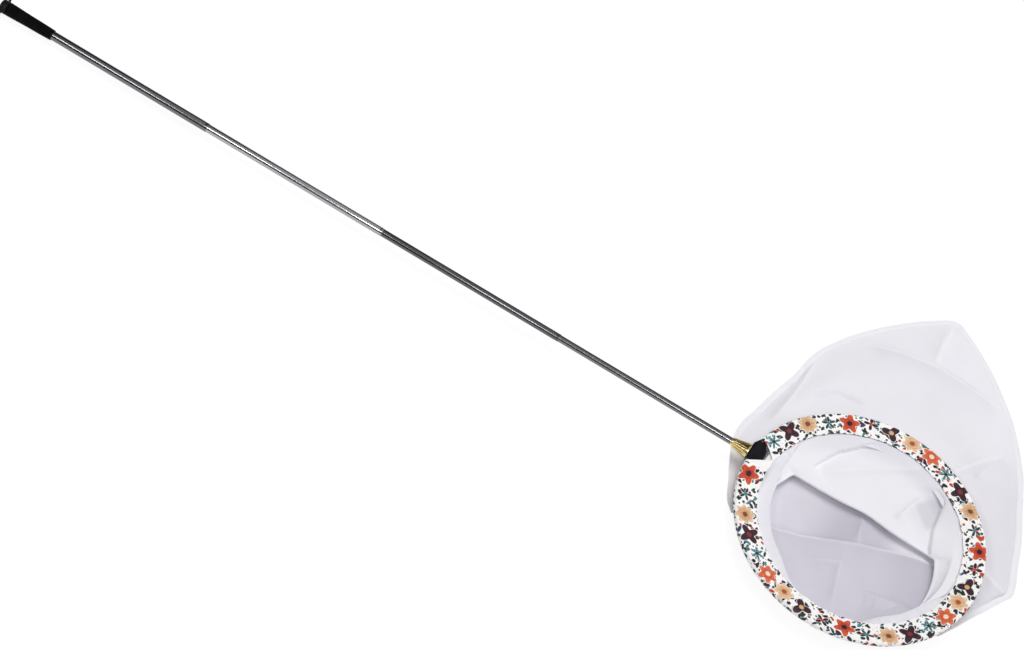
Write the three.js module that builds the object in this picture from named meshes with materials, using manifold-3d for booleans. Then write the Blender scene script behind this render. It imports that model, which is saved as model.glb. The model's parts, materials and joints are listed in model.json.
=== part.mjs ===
// Insect net: a telescopic steel pole with a black grip, a brass ferrule, a wire hoop in a printed sleeve and
// a white mesh bag. It lies on the floor with the pole pulled out and the bag laid to one side of the hoop.
// Millimetres, +Z up. The pole points along +X to the hoop, the bag lies towards +Y and the floor is z = 0.
import * as THREE from 'three';
import { mergeVertices } from 'three/addons/utils/BufferGeometryUtils.js';
import Module from 'manifold-3d';

const degrees = THREE.MathUtils.degToRad;

// Fits
const SEAT_GAP = 0.3; // between pieces that touch on the real net
const PLUG_FIT = 0.15; // between a plug's spigot and the bore it is pushed into
const RUN_FIT = 0.12; // between sliding pieces
const SEWN_GAP = 0.7; // between cloth edges that are sewn together
const MERGE_DISTANCE = 1e-4; // corners nearer than this are one
const BORE_SIDES = 12;

// End cap and hang cord. Places along the pole are measured from the flat butt face.
const CAP_LIP = 0.2; // how far the cap stands out past the grip
const CAP_LENGTH = 10;
const CAP_EDGE = 2.5;
const CAP_SPIGOT = 15;
const CORD_HOLE_PLACE = 5.5;
const CORD_RADIUS = 2;
const CORD_PLAY = 0.5; // between the cord and its hole
const CORD_SIDES = 8;
const CORD_STEPS = 24;

// Grip
const GRIP_LENGTH = 74;
const GRIP_REAR_WALL = 2.7;
const GRIP_FRONT_WALL = 0.8;
const GRIP_EDGE = 1.5;

// Telescopic tubes
const TUBE_COUNT = 4;
const TUBE_RADIUS = 6.5; // outside of tube 1
const TUBE_WALL = 0.25;
const TUBE_CLEARANCE = 0.25; // from one tube's bore to the next tube
const TUBE_LIP = 3; // length of the rolled mouth
const FIRST_MOUTH = 336;
const SECTION_SHOWN = 281;
const TIP_SHOWN = 269;
const TUBE_OVERLAP = 45;
const TUBE_SIDES = 20;

// Stop plugs and their split spring rings
const PLUG_SPIGOT = 12;
const PLUG_FRONT_COLLAR = 3;
const PLUG_GROOVE = 8;
const PLUG_REAR_COLLAR = 2;
const GROOVE_DEPTH = 1.2;
const RING_SLIT = 1.4;
const PLUG_SIDES = 16;

// Ferrule and stud
const FERRULE_LENGTH = 27;
const FERRULE_WALL = 0.75; // round the tip tube, at the rear
const FERRULE_FLARE = 5.3; // how much wider the front is
const FLARE_SHARES = [0.12, 0.45, 0.92]; // of the flare, at even steps along the flutes
const FERRULE_RIM = 3;
const FERRULE_SOCKET = 13;
const FLUTE_COUNT = 14;
const FLUTE_DEPTH = 0.7;
const FLUTE_STEPS = 4;
const STUD_RADIUS = 3;
const STUD_IN_FERRULE = 12;
const STUD_IN_BASE = 12;

// Hoop base, the block that holds the two ends of the wire
const BASE_DEPTH = 22;
const BASE_HALF_WIDTH = 24; // across the two arms
const BASE_REAR_HALF_WIDTH = 13;
const BASE_ARM = 6; // along the pole, at the end of each arm
const BASE_NOSE_HALF_WIDTH = 5;
const BASE_NOSE_BEND = [17, 2.7]; // where the nose's curve leans: across the pole, back from the nose
const BASE_THICKNESS = 16;
const BASE_BEVEL = 2;
const BASE_CURVE_STEPS = 5;
const SOCKET_STEPS = 4;
const SCREW_RADIUS = 1.6;
const SCREW_SIDES = 10;

// Hoop wire
const HOOP_RADIUS = 173; // to the wire's centre
const HOOP_HEIGHT = 24; // of the hoop's centre above the floor
const HOOP_OFFSET = 13; // the hoop's centre lies this far to the near side of the pole's axis
const HOOP_TO_BASE = 6; // how far the base reaches outside the wire's centre
const WIRE_RADIUS = 2;
const WIRE_IN_BASE = 7;
const WIRE_SIDES = 8;
const HOOP_STEPS = 60;

// Printed band: a flat sleeve with the wire in its outer edge
const BAND_REACH = 28; // from the wire's centre to the band's inner edge
const SLEEVE_WALL = 2.3; // the ribbon and the seam turned in round the wire
const SLEEVE_PLAY = 0.7;
const BAND_EDGE_THICKNESS = 1.6;
const BAND_FAR_LIFT = degrees(8); // the slack under the far side lifts the band's inner edge
const BAND_LIFT_POWER = 1.5; // the lift fades towards the sides as this power of the sine
const BAND_NEAR_DIP = degrees(4);
const SLEEVE_STEPS = 4;

// Hem tape inside the band
const HEM_WIDTH = 13;
const HEM_SLOPE = degrees(14);

// Bag
const CLOTH = 0.8;
const SEAM_WIDTH = 11.7;
const SEAM_THICKNESS = 1.6;
const SEAM_START = degrees(-24); // the two side seams meet the hoop at these angles
const SEAM_END = degrees(205);
const SIDE_BLEND = degrees(13); // over which the lower panel climbs to the near half of the hoop
const UNDER_BAND_HEIGHT = 10; // of the upper panel where it passes under the far half of the hoop
const FOLD_LINE = 28; // the slack folded inside the hoop ends this far beyond the hoop's centre
const FOLD_SIDE_DEPTH = 14; // least depth of that fold
const FOLD_HEIGHT = 10;
const FOLD_RADIUS = 2;
const PUFF_HEIGHT = 12; // of the upper panel beyond the hoop
const PUFF_STEPS = 4;
const BAG_STEPS = 57;
const NEAR_STEPS = 20;
const NEAR_DROP = 42; // the lower panel comes down to the floor over this distance from the hem
const NEAR_CURVE = [[0.3, 0.12], [0.7, 0.62]]; // shares of that distance and of the climb
const BAG_DEPTH = 249; // how far the bag's point lies past the wire
// The share of that depth that the bag reaches, by angle round the hoop from +X towards +Y
const BAG_REACH = [
  [-24, 0.004], [-15, 0.024], [-5, 0.064], [3, 0.122], [9, 0.179], [12.5, 0.225], [16, 0.237], [24, 0.247],
  [33, 0.285], [45, 0.359], [57, 0.488], [67, 0.618], [78, 0.777], [88, 0.942], [92.5, 1], [97, 0.926],
  [105, 0.781], [115, 0.624], [125, 0.484], [134, 0.341], [143, 0.261], [153, 0.203], [165, 0.171],
  [173, 0.129], [181, 0.084], [189, 0.048], [198, 0.032], [205, 0.004],
];

// Hang cord: its loop through the end cap, on the floor behind the butt
const CORD_ROUTE = [
  [5.5, 1, 9.7], [5.5, 6, 9.7], [5.1, 11, 9.5], [3.4, 16, 8.4], [0, 20.4, 6.5], [-4.8, 24, 4.5],
  [-10.6, 26.6, 3.1], [-17.5, 27.9, 2.3], [-25, 27.4, 2.2], [-32.6, 25, 2.2], [-39.4, 20.8, 2.2],
  [-45, 14.8, 2.2], [-48.6, 7.4, 2.2], [-49.9, -0.6, 2.2], [-48.9, -8.4, 2.2], [-45.4, -15.8, 2.2],
  [-40, -21.8, 2.2], [-33.2, -26, 2.2], [-25.4, -28.2, 2.2], [-17.6, -28.4, 2.3], [-10.6, -26.9, 3.1],
  [-4.8, -24.1, 4.5], [0, -20.4, 6.5], [3.4, -16, 8.4], [5.1, -11, 9.5], [5.5, -6, 9.7], [5.5, -1, 9.7],
];

// Worked-out sizes
const tubeRadius = (n) => TUBE_RADIUS - n * (TUBE_WALL + TUBE_CLEARANCE);
const boreRadius = (n) => tubeRadius(n) - TUBE_WALL;
const gripBore = TUBE_RADIUS + SEAT_GAP;
const capRadius = gripBore + GRIP_REAR_WALL + CAP_LIP;
const ferruleRear = FIRST_MOUTH + (TUBE_COUNT - 2) * SECTION_SHOWN + TIP_SHOWN;
const ferruleFront = ferruleRear + FERRULE_LENGTH;
const tipEnd = ferruleRear + FERRULE_SOCKET - SEAT_GAP;
const tubeMouth = (n) => (n < TUBE_COUNT - 1 ? FIRST_MOUTH + n * SECTION_SHOWN : tipEnd);
const tubeTail = (n) => (n === 0 ? CAP_LENGTH + SEAT_GAP : tubeMouth(n - 1) - TUBE_OVERLAP);
const baseRear = ferruleFront + SEAT_GAP;
const ringPlace = baseRear + HOOP_TO_BASE + HOOP_RADIUS;
const tilt = Math.asin((HOOP_HEIGHT - capRadius) / ringPlace);
const ringX = ringPlace * Math.cos(tilt);
const sleeveRadius = WIRE_RADIUS + SLEEVE_PLAY + SLEEVE_WALL;
const wireEnd = BASE_HALF_WIDTH - WIRE_IN_BASE; // to each side of the pole's axis
const bandEnd = BASE_HALF_WIDTH + 3 * SEAT_GAP;
/** The angle round the hoop of the point beside the base that lies at `y` across the pole. */
const besideBase = (y) => Math.PI - Math.asin((y + HOOP_OFFSET) / HOOP_RADIUS);

// Solids

/** Shared corners merged, flat triangles dropped and faces turned outwards. */
function closed(geometry) {
  geometry.deleteAttribute('normal');
  geometry.deleteAttribute('uv');
  const merged = mergeVertices(geometry, MERGE_DISTANCE);
  const at = merged.attributes.position;
  const corner = (i) => new THREE.Vector3().fromBufferAttribute(at, i);
  const triangles = [];
  let volume = 0;
  for (let i = 0; i < merged.index.count; i += 3) {
    const [a, b, c] = [0, 1, 2].map((k) => merged.index.getX(i + k));
    if (a === b || b === c || c === a) continue;
    triangles.push([a, b, c]);
    volume += corner(a).dot(corner(b).cross(corner(c)));
  }
  merged.setIndex(triangles.flatMap(([a, b, c]) => (volume > 0 ? [a, b, c] : [a, c, b])));
  merged.computeVertexNormals();
  return merged;
}

/** A solid of revolution about the pole's axis. `outline` lists [radius, place along the pole]. */
function turned(outline, sides) {
  const points = outline.map(([radius, place]) => new THREE.Vector2(radius, place));
  const onAxis = points[0].x === 0 && points.at(-1).x === 0;
  if (!onAxis) points.push(points[0].clone());
  return closed(new THREE.LatheGeometry(points, sides).rotateZ(-Math.PI / 2));
}

/**
 * A solid whose section changes as it goes round: sectionAt(angle) lists Vector2 points and
 * place(point, angle) puts one in space. Where `whole` is true the ends meet; otherwise they are capped.
 * holeAt adds a bore.
 */
function swept(angles, sectionAt, place, { whole = false, holeAt = null } = {}) {
  const corners = [];
  const triangle = (...points) => points.forEach((p) => corners.push(p.x, p.y, p.z));
  const loops = [sectionAt, holeAt].filter(Boolean);
  for (const loop of loops) {
    const rows = angles.map((angle) => loop(angle).map((point) => place(point, angle)));
    if (whole) rows.push(rows[0]);
    for (let i = 0; i + 1 < rows.length; i++) {
      rows[i].forEach((a, j) => {
        const next = (j + 1) % rows[i].length;
        triangle(a, rows[i][next], rows[i + 1][next]);
        triangle(a, rows[i + 1][next], rows[i + 1][j]);
      });
    }
  }
  if (!whole) {
    for (const [angle, order] of [[angles[0], [0, 2, 1]], [angles.at(-1), [0, 1, 2]]]) {
      const [outer, hole] = loops.map((loop) => loop(angle));
      const points = [...outer, ...(hole ?? [])].map((point) => place(point, angle));
      for (const face of THREE.ShapeUtils.triangulateShape(outer, hole ? [hole] : [])) {
        triangle(...order.map((k) => points[face[k]]));
      }
    }
  }
  const geometry = new THREE.BufferGeometry();
  geometry.setAttribute('position', new THREE.Float32BufferAttribute(corners, 3));
  return closed(geometry);
}

const evenly = (from, to, steps) =>
  Array.from({ length: steps + 1 }, (_, i) => from + ((to - from) * i) / steps);

const circle = (radius, sides, x = 0, y = 0) =>
  evenly(0, 2 * Math.PI, sides).slice(0, -1)
    .map((a) => new THREE.Vector2(x + radius * Math.cos(a), y + radius * Math.sin(a)));

/** A line of [radius, height] points given the cloth's thickness, as a closed section. */
function thick(line, thickness) {
  const normals = line.map((_, i) => {
    const before = line[Math.max(i - 1, 0)];
    const after = line[Math.min(i + 1, line.length - 1)];
    return new THREE.Vector2(before.y - after.y, after.x - before.x).setLength(thickness / 2);
  });
  const above = line.map((point, i) => point.clone().add(normals[i]));
  const below = line.map((point, i) => point.clone().sub(normals[i]));
  return [...below, ...above.reverse()];
}

const wasm = await Module();
wasm.setup();

function manifoldOf(geometry) {
  const vertProperties = new Float32Array(geometry.attributes.position.array);
  const triVerts = new Uint32Array(geometry.index.array);
  return new wasm.Manifold(new wasm.Mesh({ numProp: 3, vertProperties, triVerts }));
}

function cut(body, tools) {
  const rest = tools.reduce((left, tool) => left.subtract(manifoldOf(tool)), manifoldOf(body));
  const { vertProperties, triVerts } = rest.getMesh();
  const geometry = new THREE.BufferGeometry();
  geometry.setAttribute('position', new THREE.Float32BufferAttribute(vertProperties, 3));
  geometry.setIndex(Array.from(triVerts));
  return closed(geometry);
}

function piece(name, geometry, color, roughness, metalness) {
  const mesh = new THREE.Mesh(geometry, new THREE.MeshStandardMaterial({ color, roughness, metalness }));
  mesh.name = name;
  return mesh;
}

const plastic = (name, geometry) => piece(name, geometry, 0x17161c, 0.5, 0);
const steel = (name, geometry) => piece(name, geometry, 0xb9b9bb, 0.22, 1);
const brass = (name, geometry) => piece(name, geometry, 0xc9a24a, 0.3, 1);
const netting = (name, geometry) => piece(name, geometry, 0xe8e7ec, 0.9, 0);

// Handle end

function endCap() {
  const spigot = boreRadius(0) - PLUG_FIT;
  const spigotEnd = CAP_LENGTH + CAP_SPIGOT;
  const corner = CAP_EDGE * (1 - Math.SQRT1_2); // half-way round the rounded edge
  const body = turned([
    [0, 0], [capRadius - CAP_EDGE, 0], [capRadius - corner, corner], [capRadius, CAP_EDGE],
    [capRadius, CAP_LENGTH], [spigot, CAP_LENGTH], [spigot, spigotEnd], [0, spigotEnd],
  ], TUBE_SIDES);
  const holeRadius = CORD_RADIUS + CORD_PLAY;
  const hole = new THREE.CylinderGeometry(holeRadius, holeRadius, 3 * capRadius, BORE_SIDES);
  return plastic('end_cap', cut(body, [closed(hole.translate(CORD_HOLE_PLACE, 0, 0))]));
}

function hangCord() {
  const path = new THREE.CatmullRomCurve3(CORD_ROUTE.map((point) => new THREE.Vector3(...point)));
  const section = new THREE.Shape(circle(CORD_RADIUS, CORD_SIDES));
  const options = { steps: CORD_STEPS, extrudePath: path, bevelEnabled: false };
  return piece('hang_cord', closed(new THREE.ExtrudeGeometry(section, options)), 0x121212, 0.8, 0);
}

function grip() {
  const rear = CAP_LENGTH + SEAT_GAP;
  const front = rear + GRIP_LENGTH;
  const rearRadius = gripBore + GRIP_REAR_WALL;
  const frontRadius = gripBore + GRIP_FRONT_WALL;
  const sleeve = turned([
    [gripBore, rear], [rearRadius - GRIP_EDGE / 2, rear], [rearRadius, rear + GRIP_EDGE],
    [frontRadius, front - GRIP_EDGE], [frontRadius - GRIP_EDGE / 2, front], [gripBore, front],
  ], TUBE_SIDES);
  return piece('foam_grip', sleeve, 0x141414, 0.85, 0);
}

// Telescopic pole

function tube(n) {
  const [outer, bore, tail, mouth] = [tubeRadius(n), boreRadius(n), tubeTail(n), tubeMouth(n)];
  const outline = [[bore, tail], [outer, tail]];
  if (n < TUBE_COUNT - 1) {
    const lip = tubeRadius(n + 1) + RUN_FIT;
    outline.push([outer, mouth - TUBE_LIP], [outer - TUBE_WALL / 2, mouth], [lip, mouth]);
    outline.push([lip, mouth - TUBE_LIP], [bore, mouth - 2 * TUBE_LIP]);
  } else {
    outline.push([outer, mouth], [bore, mouth]);
  }
  return steel(`tube_${n + 1}`, turned(outline, TUBE_SIDES));
}

const plugFront = (n) => tubeTail(n) - SEAT_GAP;
const grooveFront = (n) => plugFront(n) - PLUG_FRONT_COLLAR;
const grooveRear = (n) => grooveFront(n) - PLUG_GROOVE;
const grooveRadius = (n) => boreRadius(n - 1) - RUN_FIT - GROOVE_DEPTH;

/** The plug pushed into a tube's tail. Its collars are wider than the mouth of the tube around it. */
function stopPlug(n) {
  const collar = boreRadius(n - 1) - RUN_FIT;
  const spigot = boreRadius(n) - PLUG_FIT;
  const rear = grooveRear(n) - PLUG_REAR_COLLAR;
  const spigotEnd = tubeTail(n) + PLUG_SPIGOT;
  const outline = [
    [0, rear], [collar, rear], [collar, grooveRear(n)], [grooveRadius(n), grooveRear(n)],
    [grooveRadius(n), grooveFront(n)], [collar, grooveFront(n)], [collar, plugFront(n)],
    [spigot, plugFront(n)], [spigot, spigotEnd], [0, spigotEnd],
  ];
  return piece(`stop_plug_${n + 1}`, turned(outline, PLUG_SIDES), 0xd8d4c6, 0.6, 0);
}

/** The split ring in a stop plug's groove, which rubs on the bore of the tube around it. */
function springRing(n) {
  const outer = boreRadius(n - 1) - RUN_FIT;
  const inner = grooveRadius(n) + SEAT_GAP;
  const slit = Math.asin(RING_SLIT / 2 / inner);
  const shape = new THREE.Shape();
  shape.absarc(0, 0, outer, slit, 2 * Math.PI - slit, false);
  shape.absarc(0, 0, inner, 2 * Math.PI - slit, slit, true);
  const depth = PLUG_GROOVE - 2 * SEAT_GAP;
  const ring = new THREE.ExtrudeGeometry(shape, { depth, curveSegments: PLUG_SIDES, bevelEnabled: false });
  ring.rotateY(Math.PI / 2).translate(grooveRear(n) + SEAT_GAP, 0, 0);
  return steel(`spring_ring_${n + 1}`, closed(ring));
}

// Ferrule, stud and hoop base

const roundThePole = (point, angle) =>
  new THREE.Vector3(point.x, point.y * Math.cos(angle), point.y * Math.sin(angle));

function ferrule() {
  const socket = tubeRadius(TUBE_COUNT - 1) + PLUG_FIT;
  const studBore = STUD_RADIUS + PLUG_FIT;
  const step = ferruleRear + FERRULE_SOCKET;
  const rimRear = ferruleFront - FERRULE_RIM;
  const rearRadius = socket + FERRULE_WALL;
  const frontRadius = rearRadius + FERRULE_FLARE;
  const flutePlaces = evenly(ferruleRear + FERRULE_RIM, rimRear, FLARE_SHARES.length - 1);
  const section = (angle) => {
    const flute = (FLUTE_DEPTH * (1 - Math.cos(FLUTE_COUNT * angle))) / 2;
    const fluted = FLARE_SHARES.map((share, i) =>
      [flutePlaces[i], rearRadius + FERRULE_FLARE * share - flute]);
    return [
      [ferruleRear, socket], [ferruleRear, rearRadius], ...fluted, [rimRear + FERRULE_RIM / 3, frontRadius],
      [ferruleFront, frontRadius], [ferruleFront, studBore], [step, studBore], [step, socket],
    ].map(([place, radius]) => new THREE.Vector2(place, radius));
  };
  const angles = evenly(0, 2 * Math.PI, FLUTE_COUNT * FLUTE_STEPS).slice(0, -1);
  return brass('ferrule', swept(angles, section, roundThePole, { whole: true }));
}

function hoopStud() {
  const [rear, front] = [ferruleFront - STUD_IN_FERRULE, baseRear + STUD_IN_BASE];
  const outline = [[0, rear], [STUD_RADIUS, rear], [STUD_RADIUS, front], [0, front]];
  return steel('hoop_stud', turned(outline, BORE_SIDES));
}

/** `point` is [distance from the hoop's centre, height over its plane]. */
const roundTheHoop = (point, angle) =>
  new THREE.Vector3(ringPlace + point.x * Math.cos(angle), point.x * Math.sin(angle) - HOOP_OFFSET, point.y);

const screwPlaces = [-1, 1].map((side) => side * (BASE_HALF_WIDTH - WIRE_IN_BASE / 2));
const screwX = (y) => ringPlace + HOOP_RADIUS * Math.cos(besideBase(y));

function hoopBase() {
  const nose = baseRear + BASE_DEPTH;
  const armRear = baseRear + HOOP_TO_BASE;
  const armFront = armRear + BASE_ARM;
  const [bendAcross, bendBack] = BASE_NOSE_BEND;
  const shape = new THREE.Shape();
  shape.moveTo(baseRear, -BASE_REAR_HALF_WIDTH);
  shape.lineTo(armRear, -BASE_HALF_WIDTH);
  shape.lineTo(armFront, -BASE_HALF_WIDTH);
  shape.quadraticCurveTo(nose - bendBack, -bendAcross, nose, -BASE_NOSE_HALF_WIDTH);
  shape.lineTo(nose, BASE_NOSE_HALF_WIDTH);
  shape.quadraticCurveTo(nose - bendBack, bendAcross, armFront, BASE_HALF_WIDTH);
  shape.lineTo(armRear, BASE_HALF_WIDTH);
  shape.lineTo(baseRear, BASE_REAR_HALF_WIDTH);
  const depth = BASE_THICKNESS - 2 * BASE_BEVEL;
  const body = closed(new THREE.ExtrudeGeometry(shape, {
    depth, curveSegments: BASE_CURVE_STEPS,
    bevelThickness: BASE_BEVEL, bevelSize: BASE_BEVEL, bevelOffset: -BASE_BEVEL, bevelSegments: 2,
  }).translate(0, 0, -depth / 2));
  const studBore = closed(new THREE.CylinderGeometry(
    STUD_RADIUS + PLUG_FIT, STUD_RADIUS + PLUG_FIT, 2 * (STUD_IN_BASE + SEAT_GAP), BORE_SIDES,
  ).rotateZ(Math.PI / 2).translate(baseRear, 0, 0));
  const socketSection = () => circle(WIRE_RADIUS + SEAT_GAP, WIRE_SIDES, HOOP_RADIUS, 0);
  const sockets = [-1, 1].map((side) => {
    const [inner, outer] = [wireEnd - SEAT_GAP, 2 * bandEnd].map((y) => besideBase(side * y));
    return swept(evenly(inner, outer, SOCKET_STEPS), socketSection, roundTheHoop);
  });
  const screwBores = screwPlaces.map((y) => closed(new THREE.CylinderGeometry(
    SCREW_RADIUS + PLUG_FIT, SCREW_RADIUS + PLUG_FIT, BASE_THICKNESS, SCREW_SIDES,
  ).rotateX(Math.PI / 2).translate(screwX(y), y, BASE_THICKNESS / 2)));
  return plastic('hoop_base', cut(body, [studBore, ...sockets, ...screwBores]));
}

/** A headless set screw standing on the wire, its top level with the base. */
function wireScrew(side) {
  const y = screwPlaces[side];
  const [foot, top] = [WIRE_RADIUS + SEAT_GAP, BASE_THICKNESS / 2 - SEAT_GAP];
  const screw = new THREE.CylinderGeometry(SCREW_RADIUS, SCREW_RADIUS, top - foot, SCREW_SIDES);
  screw.rotateX(Math.PI / 2).translate(screwX(y), y, (foot + top) / 2);
  return steel(['wire_screw_near', 'wire_screw_far'][side], closed(screw));
}

// Hoop, printed band and hem, in the plane of the pole

function hoopWire() {
  const section = () => circle(WIRE_RADIUS, WIRE_SIDES, HOOP_RADIUS, 0);
  const angles = evenly(besideBase(-wireEnd), besideBase(wireEnd) + 2 * Math.PI, HOOP_STEPS);
  return steel('hoop_wire', swept(angles, section, roundTheHoop));
}

/** How steeply the band rises from the wire to its inner edge. */
function bandLift(angle) {
  const far = Math.sin(angle);
  return far > 0 ? BAND_FAR_LIFT * far ** BAND_LIFT_POWER : BAND_NEAR_DIP * far;
}

function printedBand() {
  const onWire = (points, angle) => points.map((point) =>
    point.rotateAround(new THREE.Vector2(), -bandLift(angle)).add(new THREE.Vector2(HOOP_RADIUS, 0)));
  const section = (angle) => onWire([
    ...evenly(-Math.PI / 2, Math.PI / 2, SLEEVE_STEPS)
      .map((a) => new THREE.Vector2(sleeveRadius * Math.cos(a), sleeveRadius * Math.sin(a))),
    new THREE.Vector2(-BAND_REACH, BAND_EDGE_THICKNESS / 2),
    new THREE.Vector2(-BAND_REACH, -BAND_EDGE_THICKNESS / 2),
  ], angle);
  const bore = (angle) => onWire(circle(WIRE_RADIUS + SLEEVE_PLAY, WIRE_SIDES).reverse(), angle);
  const angles = evenly(besideBase(-bandEnd), besideBase(bandEnd) + 2 * Math.PI, HOOP_STEPS);
  return piece('printed_band', swept(angles, section, roundTheHoop, { holeAt: bore }), 0xfbfaf8, 0.8, 0);
}

/** The hem's outer and inner edge at an angle round the hoop, as [radius, height over the hoop]. */
function hemLine(angle) {
  const lift = bandLift(angle);
  const outer = new THREE.Vector2(
    HOOP_RADIUS - BAND_REACH * Math.cos(lift) - SEWN_GAP,
    BAND_REACH * Math.sin(lift),
  );
  const across = new THREE.Vector2(Math.cos(HEM_SLOPE), Math.sin(HEM_SLOPE)).multiplyScalar(HEM_WIDTH);
  return [outer.clone().sub(across), outer];
}

function hemTape() {
  const angles = evenly(0, 2 * Math.PI, HOOP_STEPS).slice(0, -1);
  const section = (angle) => thick(hemLine(angle), CLOTH);
  return netting('hem_tape', swept(angles, section, roundTheHoop, { whole: true }));
}

// Bag, in the floor's frame

const roundTheBag = (point, angle) =>
  new THREE.Vector3(ringX + point.x * Math.cos(angle), point.x * Math.sin(angle) - HOOP_OFFSET, point.y);

const reachPastWire = new THREE.CubicInterpolant(
  BAG_REACH.map(([angle]) => degrees(angle)), BAG_REACH.map(([, reach]) => reach), 1,
);
const bagRadius = (angle) => HOOP_RADIUS + BAG_DEPTH * reachPastWire.evaluate(angle)[0];
const panelEdge = (angle) => bagRadius(angle) - SEAM_WIDTH - SEAT_GAP;

/** Where the cloth starts at the hem, as [radius, height over the floor]. */
function mouthEdge(angle) {
  const [inner] = hemLine(angle);
  const radius = inner.x - SEWN_GAP;
  return new THREE.Vector2(radius, HOOP_HEIGHT + radius * Math.cos(angle) * Math.tan(tilt) + inner.y);
}

const between = (a, b, share) => a.clone().lerp(b, share);

/** The upper panel, from the hem in to the fold, back out under the band and on to the edge seam. */
function upperLine(angle) {
  const mouth = mouthEdge(angle);
  const edge = new THREE.Vector2(panelEdge(angle), CLOTH + SEAT_GAP + CLOTH / 2);
  const straightFold = FOLD_LINE / Math.max(Math.sin(angle), FOLD_LINE / HOOP_RADIUS);
  const fold = Math.min(straightFold, mouth.x - FOLD_SIDE_DEPTH);
  const foldTop = new THREE.Vector2(fold + FOLD_RADIUS, FOLD_HEIGHT + FOLD_RADIUS);
  const foldUnder = new THREE.Vector2(fold + FOLD_RADIUS, FOLD_HEIGHT - FOLD_RADIUS);
  const underBand = new THREE.Vector2(Math.min(mouth.x, (foldUnder.x + edge.x) / 2), UNDER_BAND_HEIGHT);
  const clearOfBand = HOOP_RADIUS + sleeveRadius;
  const outside = new THREE.Vector2(Math.min(clearOfBand, (underBand.x + edge.x) / 2), UNDER_BAND_HEIGHT);
  const puff = PUFF_HEIGHT * Math.max(Math.sin(angle), 0) ** 2;
  const puffed = evenly(0, 1, PUFF_STEPS).slice(1, -1).map((share) =>
    between(outside, edge, share).add(new THREE.Vector2(0, puff * Math.sin(Math.PI * share))));
  return [
    mouth, between(mouth, foldTop, 1 / 3), between(mouth, foldTop, 2 / 3), foldTop,
    new THREE.Vector2(fold, FOLD_HEIGHT), foldUnder, between(foldUnder, underBand, 1 / 2), underBand,
    outside, ...puffed, edge,
  ];
}

function upperPanel() {
  const section = (angle) => thick(upperLine(angle), CLOTH);
  return netting('bag_upper_panel', swept(evenly(SEAM_START, SEAM_END, BAG_STEPS), section, roundTheBag));
}

/** 0 where the lower panel lies on the floor out to the edge seam, 1 where it climbs to the hoop. */
function climbs(angle) {
  const past = angle - SEAM_END;
  const before = SEAM_START + 2 * Math.PI - angle;
  return THREE.MathUtils.smoothstep(Math.min(past, before), 0, SIDE_BLEND);
}

/** The angle itself where the edge seam runs, and otherwise the nearer end of the seam. */
function seamAngle(angle) {
  if (angle <= SEAM_END) return angle;
  return angle < (SEAM_END + SEAM_START) / 2 + Math.PI ? SEAM_END : SEAM_START;
}

/** The lower panel, from the middle of the hoop out to the edge seam, or up to the hem on the near side. */
function lowerLine(angle) {
  const onFloor = CLOTH / 2;
  const mouth = mouthEdge(angle);
  const foot = mouth.x - NEAR_DROP;
  const climb = mouth.y - onFloor;
  const near = [
    [0, onFloor], [foot / 2, onFloor], [foot, onFloor],
    ...NEAR_CURVE.map(([out, up]) => [foot + NEAR_DROP * out, onFloor + climb * up]), [mouth.x, mouth.y],
  ];
  const share = climbs(angle);
  const reach = panelEdge(seamAngle(angle));
  return near.map(([radius, height], i) => new THREE.Vector2(
    THREE.MathUtils.lerp((reach * i) / (near.length - 1), radius, share),
    THREE.MathUtils.lerp(onFloor, height, share),
  ));
}

function lowerPanel() {
  const angles = [
    ...evenly(SEAM_START, SEAM_END, BAG_STEPS),
    ...evenly(SEAM_END, SEAM_START + 2 * Math.PI, NEAR_STEPS).slice(1, -1),
  ];
  const section = (angle) => thick(lowerLine(angle), CLOTH);
  return netting('bag_lower_panel', swept(angles, section, roundTheBag, { whole: true }));
}

function edgeSeam() {
  const section = (angle) => {
    const [inner, outer] = [bagRadius(angle) - SEAM_WIDTH, bagRadius(angle)];
    return [
      new THREE.Vector2(inner, 0), new THREE.Vector2(outer, 0),
      new THREE.Vector2(outer, SEAM_THICKNESS), new THREE.Vector2(inner, SEAM_THICKNESS),
    ];
  };
  return netting('bag_edge_seam', swept(evenly(SEAM_START, SEAM_END, BAG_STEPS), section, roundTheBag));
}

// Assembly: the pole and hoop lean up from the butt to the hoop, and the bag and cord lie on the floor.

const pole = new THREE.Group();
pole.position.z = capRadius;
pole.rotation.y = -tilt;
pole.add(endCap(), grip());
for (let n = 0; n < TUBE_COUNT; n++) {
  pole.add(tube(n));
  if (n > 0) pole.add(stopPlug(n), springRing(n));
}
pole.add(ferrule(), hoopStud(), hoopBase(), wireScrew(0), wireScrew(1), hoopWire(), printedBand(), hemTape());

const net = new THREE.Group();
net.add(pole, upperPanel(), lowerPanel(), edgeSeam());

// The origin is under the middle of the net, on the floor. The cord doesn't count.
const box = new THREE.Box3().setFromObject(net, true);
const middle = box.getCenter(new THREE.Vector3());
net.add(hangCord());
net.position.set(-middle.x, -middle.y, -box.min.z);

const insectNet = new THREE.Group();
insectNet.add(net);

export default insectNet;
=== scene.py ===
"""Insect net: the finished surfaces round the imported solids.

Sizes are in millimetres in the net's own frame until to_row() turns them into the row frame's metres.
The net's frame starts on the floor under the middle of the butt face, with +X along the pole to the hoop,
+Y to the side where the bag lies and +Z up. Shapes inside the hoop are given from the hoop's middle.
"""

import json
import math

import bmesh
import bpy
import numpy as np
from mathutils import Matrix, Vector


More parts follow.
